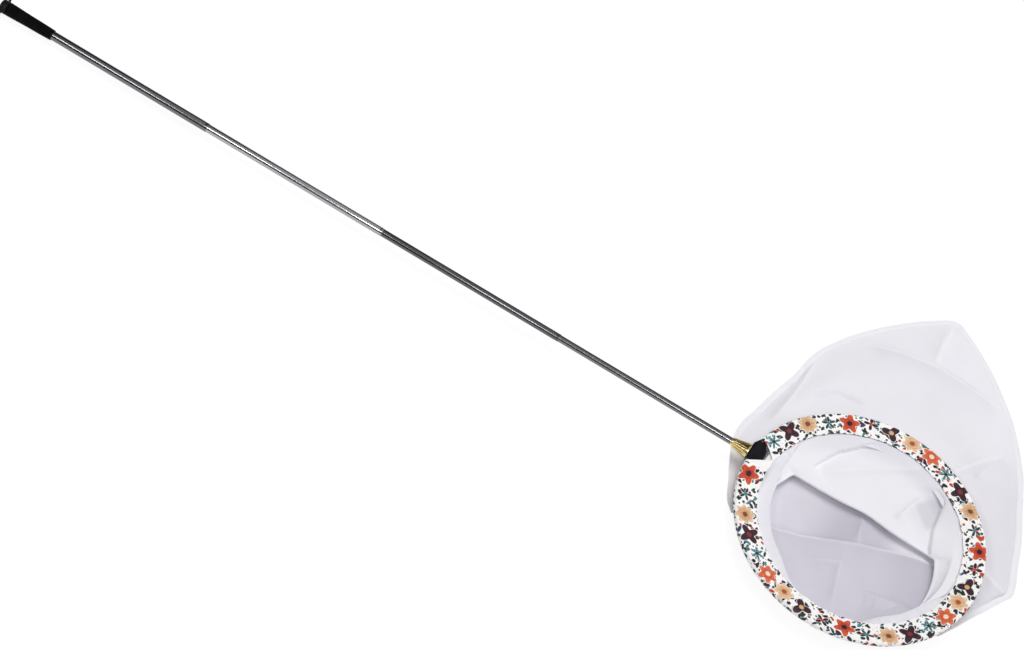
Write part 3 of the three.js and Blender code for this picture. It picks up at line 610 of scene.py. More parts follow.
def knitted_mesh(tree, palest_colour, greyest_colour, crumple):
    """Fine knitted polyester mesh: matt, greyed by painted shade and a grey tone from a UV map, with a faint grid
    of holes.
    """
    place = add(tree, "ShaderNodeTexCoord").outputs["Object"]
    turns = FULL_TURN * per_metre(MESH_PITCH)
    waves = []
    for part in add(tree, "ShaderNodeSeparateXYZ", {0: place}).outputs[:2]:
        phase = add(tree, "ShaderNodeMath", {0: part, 1: turns}, operation="MULTIPLY")
        waves.append(add(tree, "ShaderNodeMath", {0: phase}, operation="SINE"))
    holes = add(tree, "ShaderNodeMath", dict(enumerate(waves)), operation="MULTIPLY")
    cloud = add(tree, "ShaderNodeTexNoise", {"Vector": place, "Scale": per_metre(30), "Detail": 4})
    uneven = add(tree, "ShaderNodeMath", {0: holes, 1: 0.4, 2: cloud}, operation="MULTIPLY_ADD")
    # This UV map's X holds painted shade of the folds, the flap and the band, painted highlights on creases, and a
    # grey tone.
    uv = add(tree, "ShaderNodeUVMap", uv_map="shade_and_tone")
    greying = add(tree, "ShaderNodeSeparateXYZ", {0: uv}).outputs["X"]
    tone = add(tree, "ShaderNodeMath", {0: uneven, 1: 0.16, 2: greying}, operation="MULTIPLY_ADD")
    creased = add(tree, "ShaderNodeTexNoise", {
        "Vector": place, "Scale": per_metre(26), "Detail": 3, "Distortion": 0.6,
    })
    crumpled = add(tree, "ShaderNodeBump", {"Height": creased, "Strength": crumple, "Distance": 3 * MM})
    return {
        "Base Color": add(tree, "ShaderNodeValToRGB", {0: tone}, [(0, palest_colour), (1, greyest_colour)]),
        "Normal": add(tree, "ShaderNodeBump", {
            "Height": holes, "Normal": crumpled, "Strength": 0.08, "Distance": 0.2 * MM,
        }),
        "Roughness": 0.85,
        "Specular IOR Level": 0.2,
    }


def sewing_thread(tree):
    """Spun polyester thread: white, with the twist of its plies as faint slanting lines."""
    place = add(tree, "ShaderNodeTexCoord").outputs["Object"]
    plies = add(tree, "ShaderNodeTexWave", {
        "Vector": place, "Scale": per_metre(0.6) * WAVE_SCALE, "Distortion": 1,
    }, bands_direction="DIAGONAL").outputs[1]
    return {
        "Base Color": add(tree, "ShaderNodeValToRGB", {0: plies}, [(0, "#D9D8DC"), (1, "#F6F5F5")]),
        "Roughness": 0.7,
    }


abs_black = made_of(moulded_abs)
foam_black = made_of(eva_foam)
cord_black = made_of(braided_nylon)
brass = made_of(fluted_brass)
spring = made_of(spring_steel)
nylon = made_of(turned_nylon)
ribbon_print = made_of(printed_satin)
mesh_outside = made_of(knitted_mesh, "#EDECF1", "#C4C1CB", 0.1, name="knitted_mesh_outside")
# The lower panel's cloth has darker colours than the outer cloth: painted shade of the hollow under the flap.
mesh_inside_shaded = made_of(knitted_mesh, "#E2DFE8", "#B3B0BD", 0.16, name="knitted_mesh_inside")
mesh_seam = made_of(knitted_mesh, "#EFEEF3", "#C9C6D0", 0.1, name="knitted_mesh_seam")
thread_white = made_of(sewing_thread)


# Mesh making


def lofted(name, rows, material, uv=None, uv_name="surface", ring=False, loop=False, caps=False, sharp=40):
    """A mesh through rows of points. ring joins the last row to the first, loop joins each row's ends."""
    rows = np.asarray(rows, float)
    count, width = rows.shape[:2]
    across = np.arange(width if loop else width - 1)
    i, j = np.meshgrid(np.arange(count if ring else count - 1), across, indexing="ij")
    steps = [(i, j), (i + 1, j), (i + 1, j + 1), (i, j + 1)]
    faces = np.stack([(a % count) * width + b % width for a, b in steps], -1).reshape(-1, 4).tolist()
    if caps:
        faces += [list(range(width)), list(range((count - 1) * width, count * width))]
    mesh = bpy.data.meshes.new(name)
    mesh.from_pydata(to_row(rows.reshape(-1, 3)).tolist(), [], faces)
    if uv is not None:
        layer = mesh.uv_layers.new(name=uv_name)
        corners = np.stack([uv[a, b] for a, b in steps], 2).reshape(-1, 2)
        spare = np.zeros((len(layer.data) - len(corners), 2))
        layer.data.foreach_set("uv", np.concatenate([corners, spare]).astype(np.float32).ravel())
    return finished(name, mesh, material, sharp)


def finished(name, mesh, material, sharp):
    """Doubles merged, faces turned out, smooth but for sharp edges, and linked into the scene."""
    built = bmesh.new()
    built.from_mesh(mesh)
    bmesh.ops.remove_doubles(built, verts=built.verts, dist=1e-7)
    bmesh.ops.dissolve_degenerate(built, edges=built.edges, dist=1e-8)
    bmesh.ops.recalc_face_normals(built, faces=built.faces)
    built.to_mesh(mesh)
    built.free()
    mesh.shade_smooth()
    mesh.set_sharp_from_angle(angle=math.radians(sharp))
    mesh.materials.append(material)
    return linked(name, mesh)


def modified_mesh(piece):
    """A new mesh, as the piece's modifiers make it."""
    bpy.context.view_layer.update()
    return bpy.data.meshes.new_from_object(piece.evaluated_get(bpy.context.evaluated_depsgraph_get()))


def plain(piece):
    """The piece with its modifiers turned into mesh."""
    mesh = modified_mesh(piece)
    piece.modifiers.clear()
    piece.data = mesh
    return piece


def drilled(piece, cutters):
    """The piece with each cutter's shape taken out of it."""
    for cutter in cutters:
        cut = piece.modifiers.new("hole", "BOOLEAN")
        cut.operation = "DIFFERENCE"
        cut.solver = "EXACT"
        cut.object = cutter
    plain(piece)
    for cutter in cutters:
        bpy.data.objects.remove(cutter)
    return piece


def rounded(piece, width, segments, angle=35):
    """A small radius along the piece's sharp edges."""
    bevel = piece.modifiers.new("edges", "BEVEL")
    bevel.width = width * MM
    bevel.segments = segments
    bevel.limit_method = "ANGLE"
    bevel.angle_limit = math.radians(angle)
    return piece


def thickened(piece, thickness):
    """A sheet given its cloth's thickness, half to each side, with a sharp rim."""
    shell = piece.modifiers.new("cloth", "SOLIDIFY")
    shell.thickness = thickness * MM
    shell.offset = 0
    plain(piece).data.set_sharp_from_angle(angle=math.radians(65))
    return piece


def turned(name, outline, material, sides=64, **options):
    """A piece turned about the pole. outline lists (radius, place)."""
    radius, place = np.array(outline, float).T
    rows = on_pole(place[None, :], *polar(radius, circle(sides)))
    on_axis = radius[0] == 0 and radius[-1] == 0
    return lofted(name, rows, material, ring=True, loop=not on_axis, **options)


def corner(radius, place, size, start, end, steps=6):
    """Points of a rounded outer corner at (radius, place), from one angle to another in degrees."""
    angles = np.radians(np.linspace(start, end, steps + 1))
    middle = place - math.copysign(size, start + end)
    return [(radius - size + size * math.cos(a), middle + size * math.sin(a)) for a in angles]


def rod(name, start, end, radius, sides=32):
    """A plain round bar between two points, used as a cutter and for the screws."""
    along = unit(end - start)
    side = unit(np.cross(along, (0, 0, 1) if abs(along[2]) < 0.9 else (1, 0, 0)))
    other = np.cross(along, side)
    angle = circle(sides)
    ring = radius * (np.cos(angle) * side + np.sin(angle) * other)
    return lofted(name, np.stack([start + ring, end + ring]), abs_black, loop=True, caps=True)


def settle(piece, body, slot, *nodes):
    """The piece rides on its body and stands for its nodes. Its slot is not used."""
    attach(piece, body)
    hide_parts(*nodes)
    return piece


# Hang cord

CORD_STEPS, CORD_SIDES = 8, 20


def through(points, steps):
    """A smooth line through points, by Catmull-Rom pieces of equal steps."""
    points = np.array(points, float)
    padded = np.concatenate([[2 * points[0] - points[1]], points, [2 * points[-1] - points[-2]]])
    t = np.linspace(0, 1, steps, endpoint=False)[:, None]
    line = []
    for a, b, c, d in zip(padded, padded[1:], padded[2:], padded[3:]):
        squared, cubed = 2 * a - 5 * b + 4 * c - d, 3 * b - a - 3 * c + d
        line.append(0.5 * (2 * b + (c - a) * t + squared * t**2 + cubed * t**3))
    return np.concatenate([*line, points[-1:]])


def make_cord():
    line = through(CORD_ROUTE, CORD_STEPS)
    tangent = unit(np.gradient(line, axis=0))
    side = unit(np.cross(tangent, (0, 0, 1)))
    over = np.cross(side, tangent)
    angle = circle(CORD_SIDES)
    ring = CORD_DIAMETER / 2 * (np.cos(angle) * side[:, None] + np.sin(angle) * over[:, None])
    uv = paired(walked(line)[:, None], np.linspace(0, 1, CORD_SIDES + 1))
    rows = line[:, None] + ring
    cord = lofted("hang_cord_braid", rows, cord_black, uv, "along_cord", loop=True, caps=True)
    settle(cord, "handle", "black_cord", "hang_cord")


make_cord()


# Handle end


def make_handle():
    spigot = TUBE_RADII[0] - TUBE_WALL - PLUG_FIT
    spigot_end = CAP_LENGTH + CAP_SPIGOT
    cap = turned("end_cap_moulding", [
        (0, 0), *corner(CAP_RADIUS, 0, CAP_EDGE, -90, 0, 10),
        *corner(CAP_RADIUS, CAP_LENGTH, CAP_FRONT_EDGE, 0, 90, 4),
        (spigot, CAP_LENGTH), (spigot, spigot_end - SPIGOT_CHAMFER), (spigot - SPIGOT_CHAMFER, spigot_end),
        (0, spigot_end),
    ], abs_black, sides=96)
    ends = (on_pole(CORD_HOLE_PLACE, side * 2 * CAP_RADIUS, 0) for side in (-1, 1))
    hole = rod("cord_hole", *ends, CORD_HOLE_RADIUS)
    settle(drilled(cap, [hole]), "handle", "black_plastic", "end_cap")

    rear, front = CAP_LENGTH + SEAT_GAP, CAP_LENGTH + SEAT_GAP + GRIP_LENGTH
    places = np.linspace(rear + GRIP_EDGE, front - GRIP_EDGE, 40)
    share = (places - places[0]) / (places[-1] - places[0])
    swell = GRIP_SWELL * np.sin(places / GRIP_SWELL_LENGTH) * np.sin(math.pi * share)
    radii = GRIP_REAR_RADIUS + (GRIP_FRONT_RADIUS - GRIP_REAR_RADIUS) * share + swell
    grip = turned("foam_grip_sleeve", [
        (GRIP_BORE, rear), *corner(GRIP_REAR_RADIUS, rear, GRIP_EDGE, -90, -15),
        *zip(radii, places), *corner(GRIP_FRONT_RADIUS, front, GRIP_FRONT_EDGE, 15, 90),
        (GRIP_BORE, front),
    ], foam_black, sides=72)
    settle(grip, "handle", "black_foam", "foam_grip")


make_handle()


# Telescopic tubes

TUBE_BODIES = ["handle", "section_2", "section_3", "head"]
# Each tube's base colour sets how bright its reflections are: painted reflection, paler on the second tube and
# darker on the third, though all are one steel.
TUBE_REFLECTION_TINTS = [("#6E6E71", "#7C7C7F"), ("#A2A2A5", "#B4B4B7"), ("#5E5E61", "#6A6A6D"), ("#757578", "#848487")]


def make_tube(n):
    """A drawn tube. All but the tip have a rolled groove and a drawn-in mouth."""
    outer, tail, mouth = TUBE_RADII[n], TUBE_TAILS[n], TUBE_MOUTHS[n]
    bore = outer - TUBE_WALL
    outline = [(bore, tail), (outer, tail)]
    if n + 1 < len(TUBE_RADII):
        lip = TUBE_RADII[n + 1] + RUN_FIT
        outline += [
            (outer - GROOVE_DEPTH * math.sin(math.pi * s), mouth - GROOVE_BACK + GROOVE_WIDTH * s)
            for s in np.linspace(0, 1, 7)
        ]
        outline += [(outer, mouth - TUBE_LIP), (outer, mouth - 2 * MOUTH_ROUND)]
        outline += corner(outer, mouth, MOUTH_ROUND, 20, 90, 5)
        outline += [(lip, mouth), (lip, mouth - TUBE_LIP), (bore, mouth - 2 * TUBE_LIP)]
    else:
        outline += [(outer, mouth), (bore, mouth)]
    stainless = made_of(drawn_stainless, *TUBE_REFLECTION_TINTS[n], name=f"drawn_stainless_{n + 1}")
    tube = turned(f"tube_{n + 1}_drawn", outline, stainless, sharp=30)
    settle(tube, TUBE_BODIES[n], "bright_steel", f"tube_{n + 1}")


for n in range(len(TUBE_RADII)):
    make_tube(n)


# Ferrule, hoop base and screws


def make_ferrule():
    socket = TUBE_RADII[-1] + PLUG_FIT
    stud_bore = STUD_RADIUS + PLUG_FIT
    step = FERRULE_REAR + FERRULE_SOCKET
    front_radius = FERRULE_REAR_RADIUS + FERRULE_FLARE
    share = np.linspace(0, 1, 25)
    places = FERRULE_REAR + FERRULE_RIM + share * (FERRULE_FRONT - FERRULE_REAR - 2 * FERRULE_RIM)
    flare = FLARE_START + FLARE_SLOPE * share + FLARE_CURVE * share**2
    flared = FERRULE_REAR_RADIUS + FERRULE_FLARE * flare
    rear = [
        (socket, FERRULE_REAR), *corner(FERRULE_REAR_RADIUS, FERRULE_REAR, FERRULE_REAR_EDGE, -90, 0, 5),
        (FERRULE_REAR_RADIUS, FERRULE_REAR + FERRULE_COLLAR),
    ]
    outline = np.array([
        *rear, *zip(flared, places), (front_radius, FERRULE_FRONT - FERRULE_LIP),
        *corner(front_radius, FERRULE_FRONT, FERRULE_FRONT_EDGE, 0, 90, 5),
        (stud_bore, FERRULE_FRONT), (stud_bore, step), (socket, step),
    ])
    depth = np.zeros(len(outline))
    depth[len(rear):len(rear) + len(share)] = np.sin(math.pi * np.clip(share, 0.02, 0.98)) ** 0.4
    angle = np.linspace(0, FULL_TURN, FLUTE_COUNT * 14 + 1)[:, None]
    flute = depth * (1 - np.abs(np.cos(FLUTE_COUNT * angle / 2)) ** 0.8)
    rows = on_pole(outline[None, :, 1], *polar(outline[:, 0] - FLUTE_DEPTH * flute, angle))[:-1]
    uv = paired(flute, outline[None, :, 1])
    uv = np.concatenate([uv, uv[:, :1]], 1)
    ferrule = lofted("ferrule_fluted", rows, brass, uv, "flutes", ring=True, loop=True, sharp=45)
    settle(ferrule, "head", "brass", "ferrule")


def bend(start, control, end, steps=12):
    """Points of a quadratic curve after its start."""
    t = np.linspace(0, 1, steps + 1)[1:, None]
    start, control, end = (np.array(p, float) for p in (start, control, end))
    return list((1 - t) ** 2 * start + 2 * t * (1 - t) * control + t**2 * end)


def screw_rod(name, side, foot, top, radius, sides=32):
    """A round bar where a set screw stands, between two heights over the pole's axis."""
    across = side * (BASE_HALF_WIDTH - WIRE_IN_BASE / 2)
    along = ring_place + HOOP_RADIUS * math.cos(beside_base(across))
    return rod(name, on_pole(along, across, foot), on_pole(along, across, top), radius, sides)


def make_base():
    nose, arm = BASE_REAR + BASE_DEPTH, BASE_REAR + HOOP_TO_BASE
    back, across = BASE_NOSE_BEND
    near = [(BASE_REAR, -BASE_REAR_HALF_WIDTH), (arm, -BASE_HALF_WIDTH), (arm + BASE_ARM, -BASE_HALF_WIDTH)]
    near += bend(near[-1], (nose - back, -across), (nose, -BASE_NOSE_HALF_WIDTH))
    outline = np.array(near + [(x, -y) for x, y in reversed(near)])
    rows = [on_pole(*outline.T, side * BASE_THICKNESS / 2) for side in (-1, 1)]
    base = rounded(lofted("hoop_base_block", rows, abs_black, loop=True, caps=True), BASE_BEVEL, 4, 50)
    cutters = [rod(
        "stud_bore", on_pole(BASE_REAR - 1, 0, 0), on_pole(BASE_REAR + STUD_IN_BASE + SEAT_GAP, 0, 0),
        STUD_RADIUS + PLUG_FIT,
    )]
    for side in (-1, 1):
        cutters.append(screw_rod("screw_bore", side, 0, BASE_THICKNESS, SCREW_RADIUS + PLUG_FIT))
        ends = [side * (wire_end - SEAT_GAP), side * 1.6 * BASE_HALF_WIDTH]
        start, end = (round_the_hoop(HOOP_RADIUS, 0, beside_base(y)) for y in ends)
        cutters.append(rod("wire_socket", start, end, WIRE_RADIUS + 2 * SEAT_GAP))
    settle(drilled(base, cutters), "head", "black_plastic", "hoop_base")


def make_screw(side, name):
    """A headless set screw with a hexagon socket, standing on the wire."""
    foot, top = WIRE_RADIUS + SEAT_GAP, BASE_THICKNESS / 2 - SEAT_GAP
    screw = rounded(screw_rod(name, side, foot, top, SCREW_RADIUS), 0.2, 2)
    screw.data.materials[0] = spring
    hexagon = screw_rod("hexagon", side, top - SCREW_SOCKET_DEPTH, top + 2, SCREW_SOCKET_RADIUS, 6)
    settle(drilled(screw, [hexagon]), "head", "spring_steel", name.replace("_socketed", ""))


make_ferrule()
make_base()
make_screw(-1, "wire_screw_near_socketed")
make_screw(1, "wire_screw_far_socketed")


# Hoop, printed band and hem


def band_lift(angle):
    """How steeply the band rises from the wire to its inner edge."""
    far = np.sin(angle)
    return np.where(far > 0, BAND_FAR_LIFT * np.maximum(far, 0) ** BAND_LIFT_POWER, BAND_NEAR_DIP * far)


def ripple(angle, seed, counts, size):
    """A gentle unevenness round the hoop: sine waves with fixed chance phases."""
    phases = np.random.default_rng(seed).uniform(0, FULL_TURN, len(counts))
    return size * sum(np.sin(n * angle + p) for n, p in zip(counts, phases)) / len(counts)


def make_band():
    """One ribbon folded round the wire, its edges sewn together, its near end slantwise over the base."""
    touch = math.acos(-(SLEEVE_RADIUS - BAND_EDGE_HALF) / BAND_REACH)
    start = polar(SLEEVE_RADIUS, touch)
    flat = np.linspace(1, 0, 13)[:-1]
    top = [(-BAND_REACH * s + start[0] * (1 - s), BAND_EDGE_HALF * s + start[1] * (1 - s)) for s in flat]
    arc = [polar(SLEEVE_RADIUS, a) for a in np.linspace(touch, -touch, 17)]
    section = np.array(top + arc + [(x, -y) for x, y in reversed(top)])
    across, up = section.T
    inward = np.clip(-across / BAND_REACH, 0, 1)
    first = HOOP_OFFSET - band_end + COVER_REACH + COVER_SLANT * inward
    last = HOOP_OFFSET + band_end - FAR_END_LEAN * inward**1.5
    angle = np.linspace(
        math.pi - np.arcsin(first / (HOOP_RADIUS + across)),
        3 * math.pi - np.arcsin(last / (HOOP_RADIUS + across)), BAND_STATIONS,
    )
    belly = np.sin(math.pi * inward) * ripple(angle, 5, [13, 29, 41, 58], 0.8)
    x = across + ripple(angle, 6, [7, 17, 33], 1.0) * inward
    z = up + ripple(angle, *PUCKER) * inward**1.5 + belly
    half = np.where(across < start[0], np.abs(up), SLEEVE_RADIUS)
    beside_arm = (HOOP_RADIUS + x) * np.sin(angle) - (HOOP_OFFSET - band_end)
    over_arm = smooth((beside_arm + COVER_RISE + 5) / COVER_RISE) * (angle < 1.25 * math.pi)
    z = z + over_arm * (up / half * (BASE_THICKNESS / 2 + COVER_GAP) - z)
    lift = band_lift(angle)
    radius = HOOP_RADIUS + x * np.cos(lift) + z * np.sin(lift)
    rows = round_the_hoop(radius, -x * np.sin(lift) + z * np.cos(lift), angle)
    width = walked(section)
    uv = paired((HOOP_RADIUS - BAND_REACH / 2) * (angle - math.pi), width[None, :])
    band = thickened(lofted("printed_band_ribbon", rows, ribbon_print, uv, "along_ribbon"), RIBBON_THICKNESS)
    settle(band, "head", "printed_cloth", "printed_band")
    return band, rows, width[-1]


def hem_edges(angle):
    """The hem's outer and inner edges, as radius and height over the hoop."""
    lift = band_lift(angle)
    outer = HOOP_RADIUS - BAND_REACH * np.cos(lift) - SEWN_GAP
    height = BAND_REACH * np.sin(lift)
    turn = np.degrees(angle) % 360
    slope = HEM_SLOPE + HEM_HANG * span(turn, *HEM_HANGS)
    width = HEM_WIDTH + HEM_SLACK * span(turn, *HEM_SLACKENS)
    return outer, height, outer - width * np.cos(slope), height - width * np.sin(slope)


def tones(greying, ring=False):
    """The cloth's painted shade and grey tone as a UV map. A ring's first row is given again after its last."""
    return paired(np.concatenate([greying, greying[:1]]) if ring else greying, 0.0)


def make_hem():
    """The plain tape inside the band, a little slack between its stitches."""
    angle = circle(BAND_STATIONS)
    outer, outer_height, inner, inner_height = hem_edges(angle)
    share = np.linspace(0, 1, 9)[None, :]
    tuck = ripple(angle, 8, [23, 37, 52, 71], 1.0) * np.sin(math.pi * share)
    pulled = ripple(angle, *PUCKER) * (1 - share)
    at_base = smooth((BASE_REACH - np.abs(angle - beside_base(0))) / BASE_REACH_FADE)
    tucked = outer + HEM_TUCK + HEM_TUCK_AT_BASE * at_base
    dropped = outer_height - HEM_DROP
    rows = round_the_hoop(
        tucked + (inner - tucked) * share, dropped + (inner_height - dropped) * share + tuck + pulled, angle,
    )
    # Greyer towards the tape's inner edge: painted shade, carrying on the band's painted shadow on the slack
    # beside it.
    uv = tones(0.12 + 0.2 * share + 0 * angle, ring=True)
    hem = thickened(lofted("hem_tape_strip", rows, mesh_seam, uv, "shade_and_tone", ring=True), CLOTH)
    return settle(hem, "head", "white_mesh", "hem_tape")


band, band_rows, ribbon_width = make_band()
hem = make_hem()


# Bag: creases first, then the panels that carry them. Lines are from the hoop's middle.


def beside(line, x, y):
    """How far points lie to the left of a line of points, and the share of the line passed there."""
    line = np.array(line, float)
    lengths = walked(line)
    nearest = np.full(np.shape(x), np.inf)
    left = np.zeros(np.shape(x))
    passed = np.zeros(np.shape(x))
    for start, end, before, after in zip(line, line[1:], lengths, lengths[1:]):
        dx, dy = unit(end - start)
        along = np.clip((x - start[0]) * dx + (y - start[1]) * dy, 0, after - before)
        off = np.hypot(x - start[0] - along * dx, y - start[1] - along * dy)
        nearer = off < nearest
        nearest = np.where(nearer, off, nearest)
        left = np.where(nearer, off * np.sign(dx * (y - start[1]) - dy * (x - start[0])), left)
        passed = np.where(nearer, before + along, passed)
    return left, passed / lengths[-1]


def beside_fold(line, x, y, fade):
    """How far points lie to the left of a fold, and how much of the fold there is as its ends fade."""
    off, passed = beside(line, x, y)
    return off, span(passed, 0, fade, 1, fade)


def ridge(x, y, line, height, left, right, fade=0.2):
    """A pressed crease that falls off to each side over its own width."""
    off, much = beside_fold(line, x, y, fade)
    return height * much * np.exp(-np.abs(off) / np.where(off > 0, left, right))


def pleat(x, y, line, drop, recover, fade=0.08):
    """A layer that ends along a line, with the layer on its left lower and rising again beyond."""
    off, much = beside_fold(line, x, y, fade)
    return -drop * much * smooth((off + 1) / 2.5) * np.exp(-np.maximum(off, 0) / recover)


def pressed(x, y, line, pale, shade, width, fade=0.15):
    """What a pressed crease adds to the painted shade: a painted highlight on its line, painted shade on its
    right.
    """
    off, much = beside_fold(line, x, y, fade)
    beyond = smooth((-off - 1) / 4) * np.exp(np.minimum(off, 0) / width)
    return much * (shade * beyond - pale * np.exp(-((off / 2.2) ** 2)))


def all_pressed(x, y, folds):
    """The painted highlights and shade that a table of folds adds."""
    return sum(pressed(x, y, line, *tone) for line, _, tone in folds if tone)


def within(x, y, corners, soft):
    """1 inside a convex outline given anticlockwise, fading to 0 over a soft edge."""
    share = 1
    for (ax, ay), (bx, by) in zip(corners, corners[1:] + corners[:1]):
        left = ((bx - ax) * (y - ay) - (by - ay) * (x - ax)) / math.hypot(bx - ax, by - ay)
        share = share * smooth(left / soft + 0.5)
    return share


def undulate(x, y, seed, length, size, swells=7):
    """Soft uneven swells about one length long."""
    chance = np.random.default_rng(seed)
    total = np.zeros(np.shape(x))
    for _ in range(swells):
        heading, phase = chance.uniform(0, FULL_TURN, 2)
        turns = FULL_TURN / (length * chance.uniform(0.7, 1.6))
        total = total + np.sin(turns * (x * math.cos(heading) + y * math.sin(heading)) + phase)
    return size * total / swells


def creases(x, y, folds, *swell):
    """The height of a table of folds, on soft swells."""
    return sum(ridge(x, y, line, *form) for line, form, _ in folds) + undulate(x, y, *swell)


def bag_radius(angle):
    """How far the bag reaches from the hoop's middle, by a smooth line through BAG_REACH."""
    return HOOP_RADIUS + BAG_DEPTH * np.interp(np.degrees(angle), *through(BAG_REACH, 12).T)


def mouth_edge(angle):
    """Where the cloth starts at the hem, as radius and height over the floor."""
    _, _, inner, inner_height = hem_edges(angle)
    radius = inner - 0.2
    return radius, HOOP_HEIGHT + radius * np.cos(angle) * math.tan(tilt) + inner_height


def climbs(angle):
    """0 where the panels lie out to the edge seam, 1 where the lower one climbs to the hoop."""
    onward = SEAM_START + (angle - SEAM_START) % FULL_TURN
    past = np.minimum(onward - SEAM_END, SEAM_START + FULL_TURN - onward)
    return smooth(past / SIDE_BLEND)


def softly_least(a, b, size):
    """The smaller of two values, with the corner between them rounded."""
    return -size * np.logaddexp(-a / size, -b / size)


FLAP_STEPS, BEND_STEPS, UNDER_STEPS, OUTER_STEPS = 64, 8, 16, 72
UPPER_STATIONS, LOWER_STATIONS, SEAM_STATIONS = 420, 560, 520
LOWER_STEPS = 130

# Each fold is a line, then its ridge (height, fall to its left and right, fade of its ends), then its painted
# light (highlight on the line, shade on its right, the shade's width, fade of its ends).
FLAP_FOLDS = [
    ([(36, 49), (47, 83), (57, 103)], (4.5, 5, 9), (0.12, 0, 9)),
    ([(-83, 52), (-43, 84), (-12, 106), (23, 128), (45, 150)], (3.6, 9, 5), (0.1, 0.12, 12)),
]
OUTER_FOLDS = [
    ([(-119, 295), (-68, 307), (-4, 315), (51, 317), (101, 324)], (7, 5, 18), (0.2, 0.24, 24)),
    ([(-20, 412), (-19, 353), (-16, 318)], (4.5, 5, 9), (0.18, 0.12, 12)),
    ([(-150, 165), (-137, 171), (-116, 186), (-71, 196)], (-3.5, 4, 7), (-0.16, 0.1, 12)),
    ([(-164, 235), (-164, 175), (-168, 132), (-174, 79)], (3.5, 9, 5), (0.18, 0.12, 12)),
    ([(165, 56), (212, 44), (228, 44)], (4.5, 5, 8), (0.2, 0.14, 12)),
    ([(70, 168), (130, 250)], (3, 5, 10), (0.14, 0.14, 18)),
    ([(205, 40), (188, 8)], (2, 4, 7), None),
    ([(104, 183), (117, 216)], (2.2, 4, 6), None),
]
LONG_CREASE = [(-108, -70), (-61, -50), (10, -13), (64, 9), (114, 27)]
LOWER_FOLDS = [
    (LONG_CREASE, (7.5, 7, 24, 0.12), (0.3, 0.1, 14, 0.06)),
    ([(-2, 36), (3, 7), (10, -13)], (4, 5, 6, 0.3), (0.2, 0, 9)),
    ([(-52, -82), (0, -54), (14, -108), (21, -140)], (4, 10, 7, 0.3), (0.12, 0.07, 14, 0.3)),
]
# Each pleat is a line, its drop and the width over which the cloth rises again.
FLAP_PLEATS = [
    ([(-15, 160), (-48, 124), (-75, 94), (-97, 50)], 6, 14),
    ([(100, 25), (88, 62), (86, 72), (83, 108), (74, 128)], 7, 20),
]
FLAP_SWELL, OUTER_SWELL, LOWER_SWELL = (12, 60, 0.7), (13, 85, 1.1), (14, 55, 0.8)  # seed, length, size
LOWER_RAISE = 0.8  # keeps the swells of the lower panel over the floor
PLATEAU_LINE = [(30, -76), (47, -69), (61, -66), (90, -63), (117, -65), (128, -72)]
PLATEAU_HEIGHT = 9


def flap_creases(x, y):
    """Folds of the slack that lies inside the hoop."""
    return sum(pleat(x, y, *row) for row in FLAP_PLEATS) + creases(x, y, FLAP_FOLDS, *FLAP_SWELL)


def flap_shade_and_tone(x, y):
    """Painted shade on the slack: in the hollow and deep fold at its right and the band's shadow by the hem,
    greyer at its end, painted light along its folds.
    """
    hollow_fold = within(x, y, [(40, 66), (80, 56), (89, 68), (85, 114), (60, 122)], 22)
    deep_fold = within(x, y, [(50, 84), (80, 62), (87, 70), (84, 110), (70, 112)], 9)
    flap_end = within(x, y, [(70, 58), (88, 30), (112, 26), (98, 60)], 14)
    # by_hem is the band's shadow, painted on the slack near the hem.
    by_hem = smooth((np.hypot(x, y) - 108) / 24) * smooth((y - 40) / 60)
    shaded = 0.2 * hollow_fold + 0.34 * deep_fold + 0.06 * flap_end + 0.28 * by_hem
    return shaded - 0.06 + all_pressed(x, y, FLAP_FOLDS)


def outer_shade_and_tone(x, y):
    """Greyer on the side away from the pole, with painted highlights and shade beside the pressed folds."""
    greyer_away = 0.24 * smooth((x - 90) / 80) * smooth((300 - y) / 100)
    return 0.06 + greyer_away + all_pressed(x, y, OUTER_FOLDS)


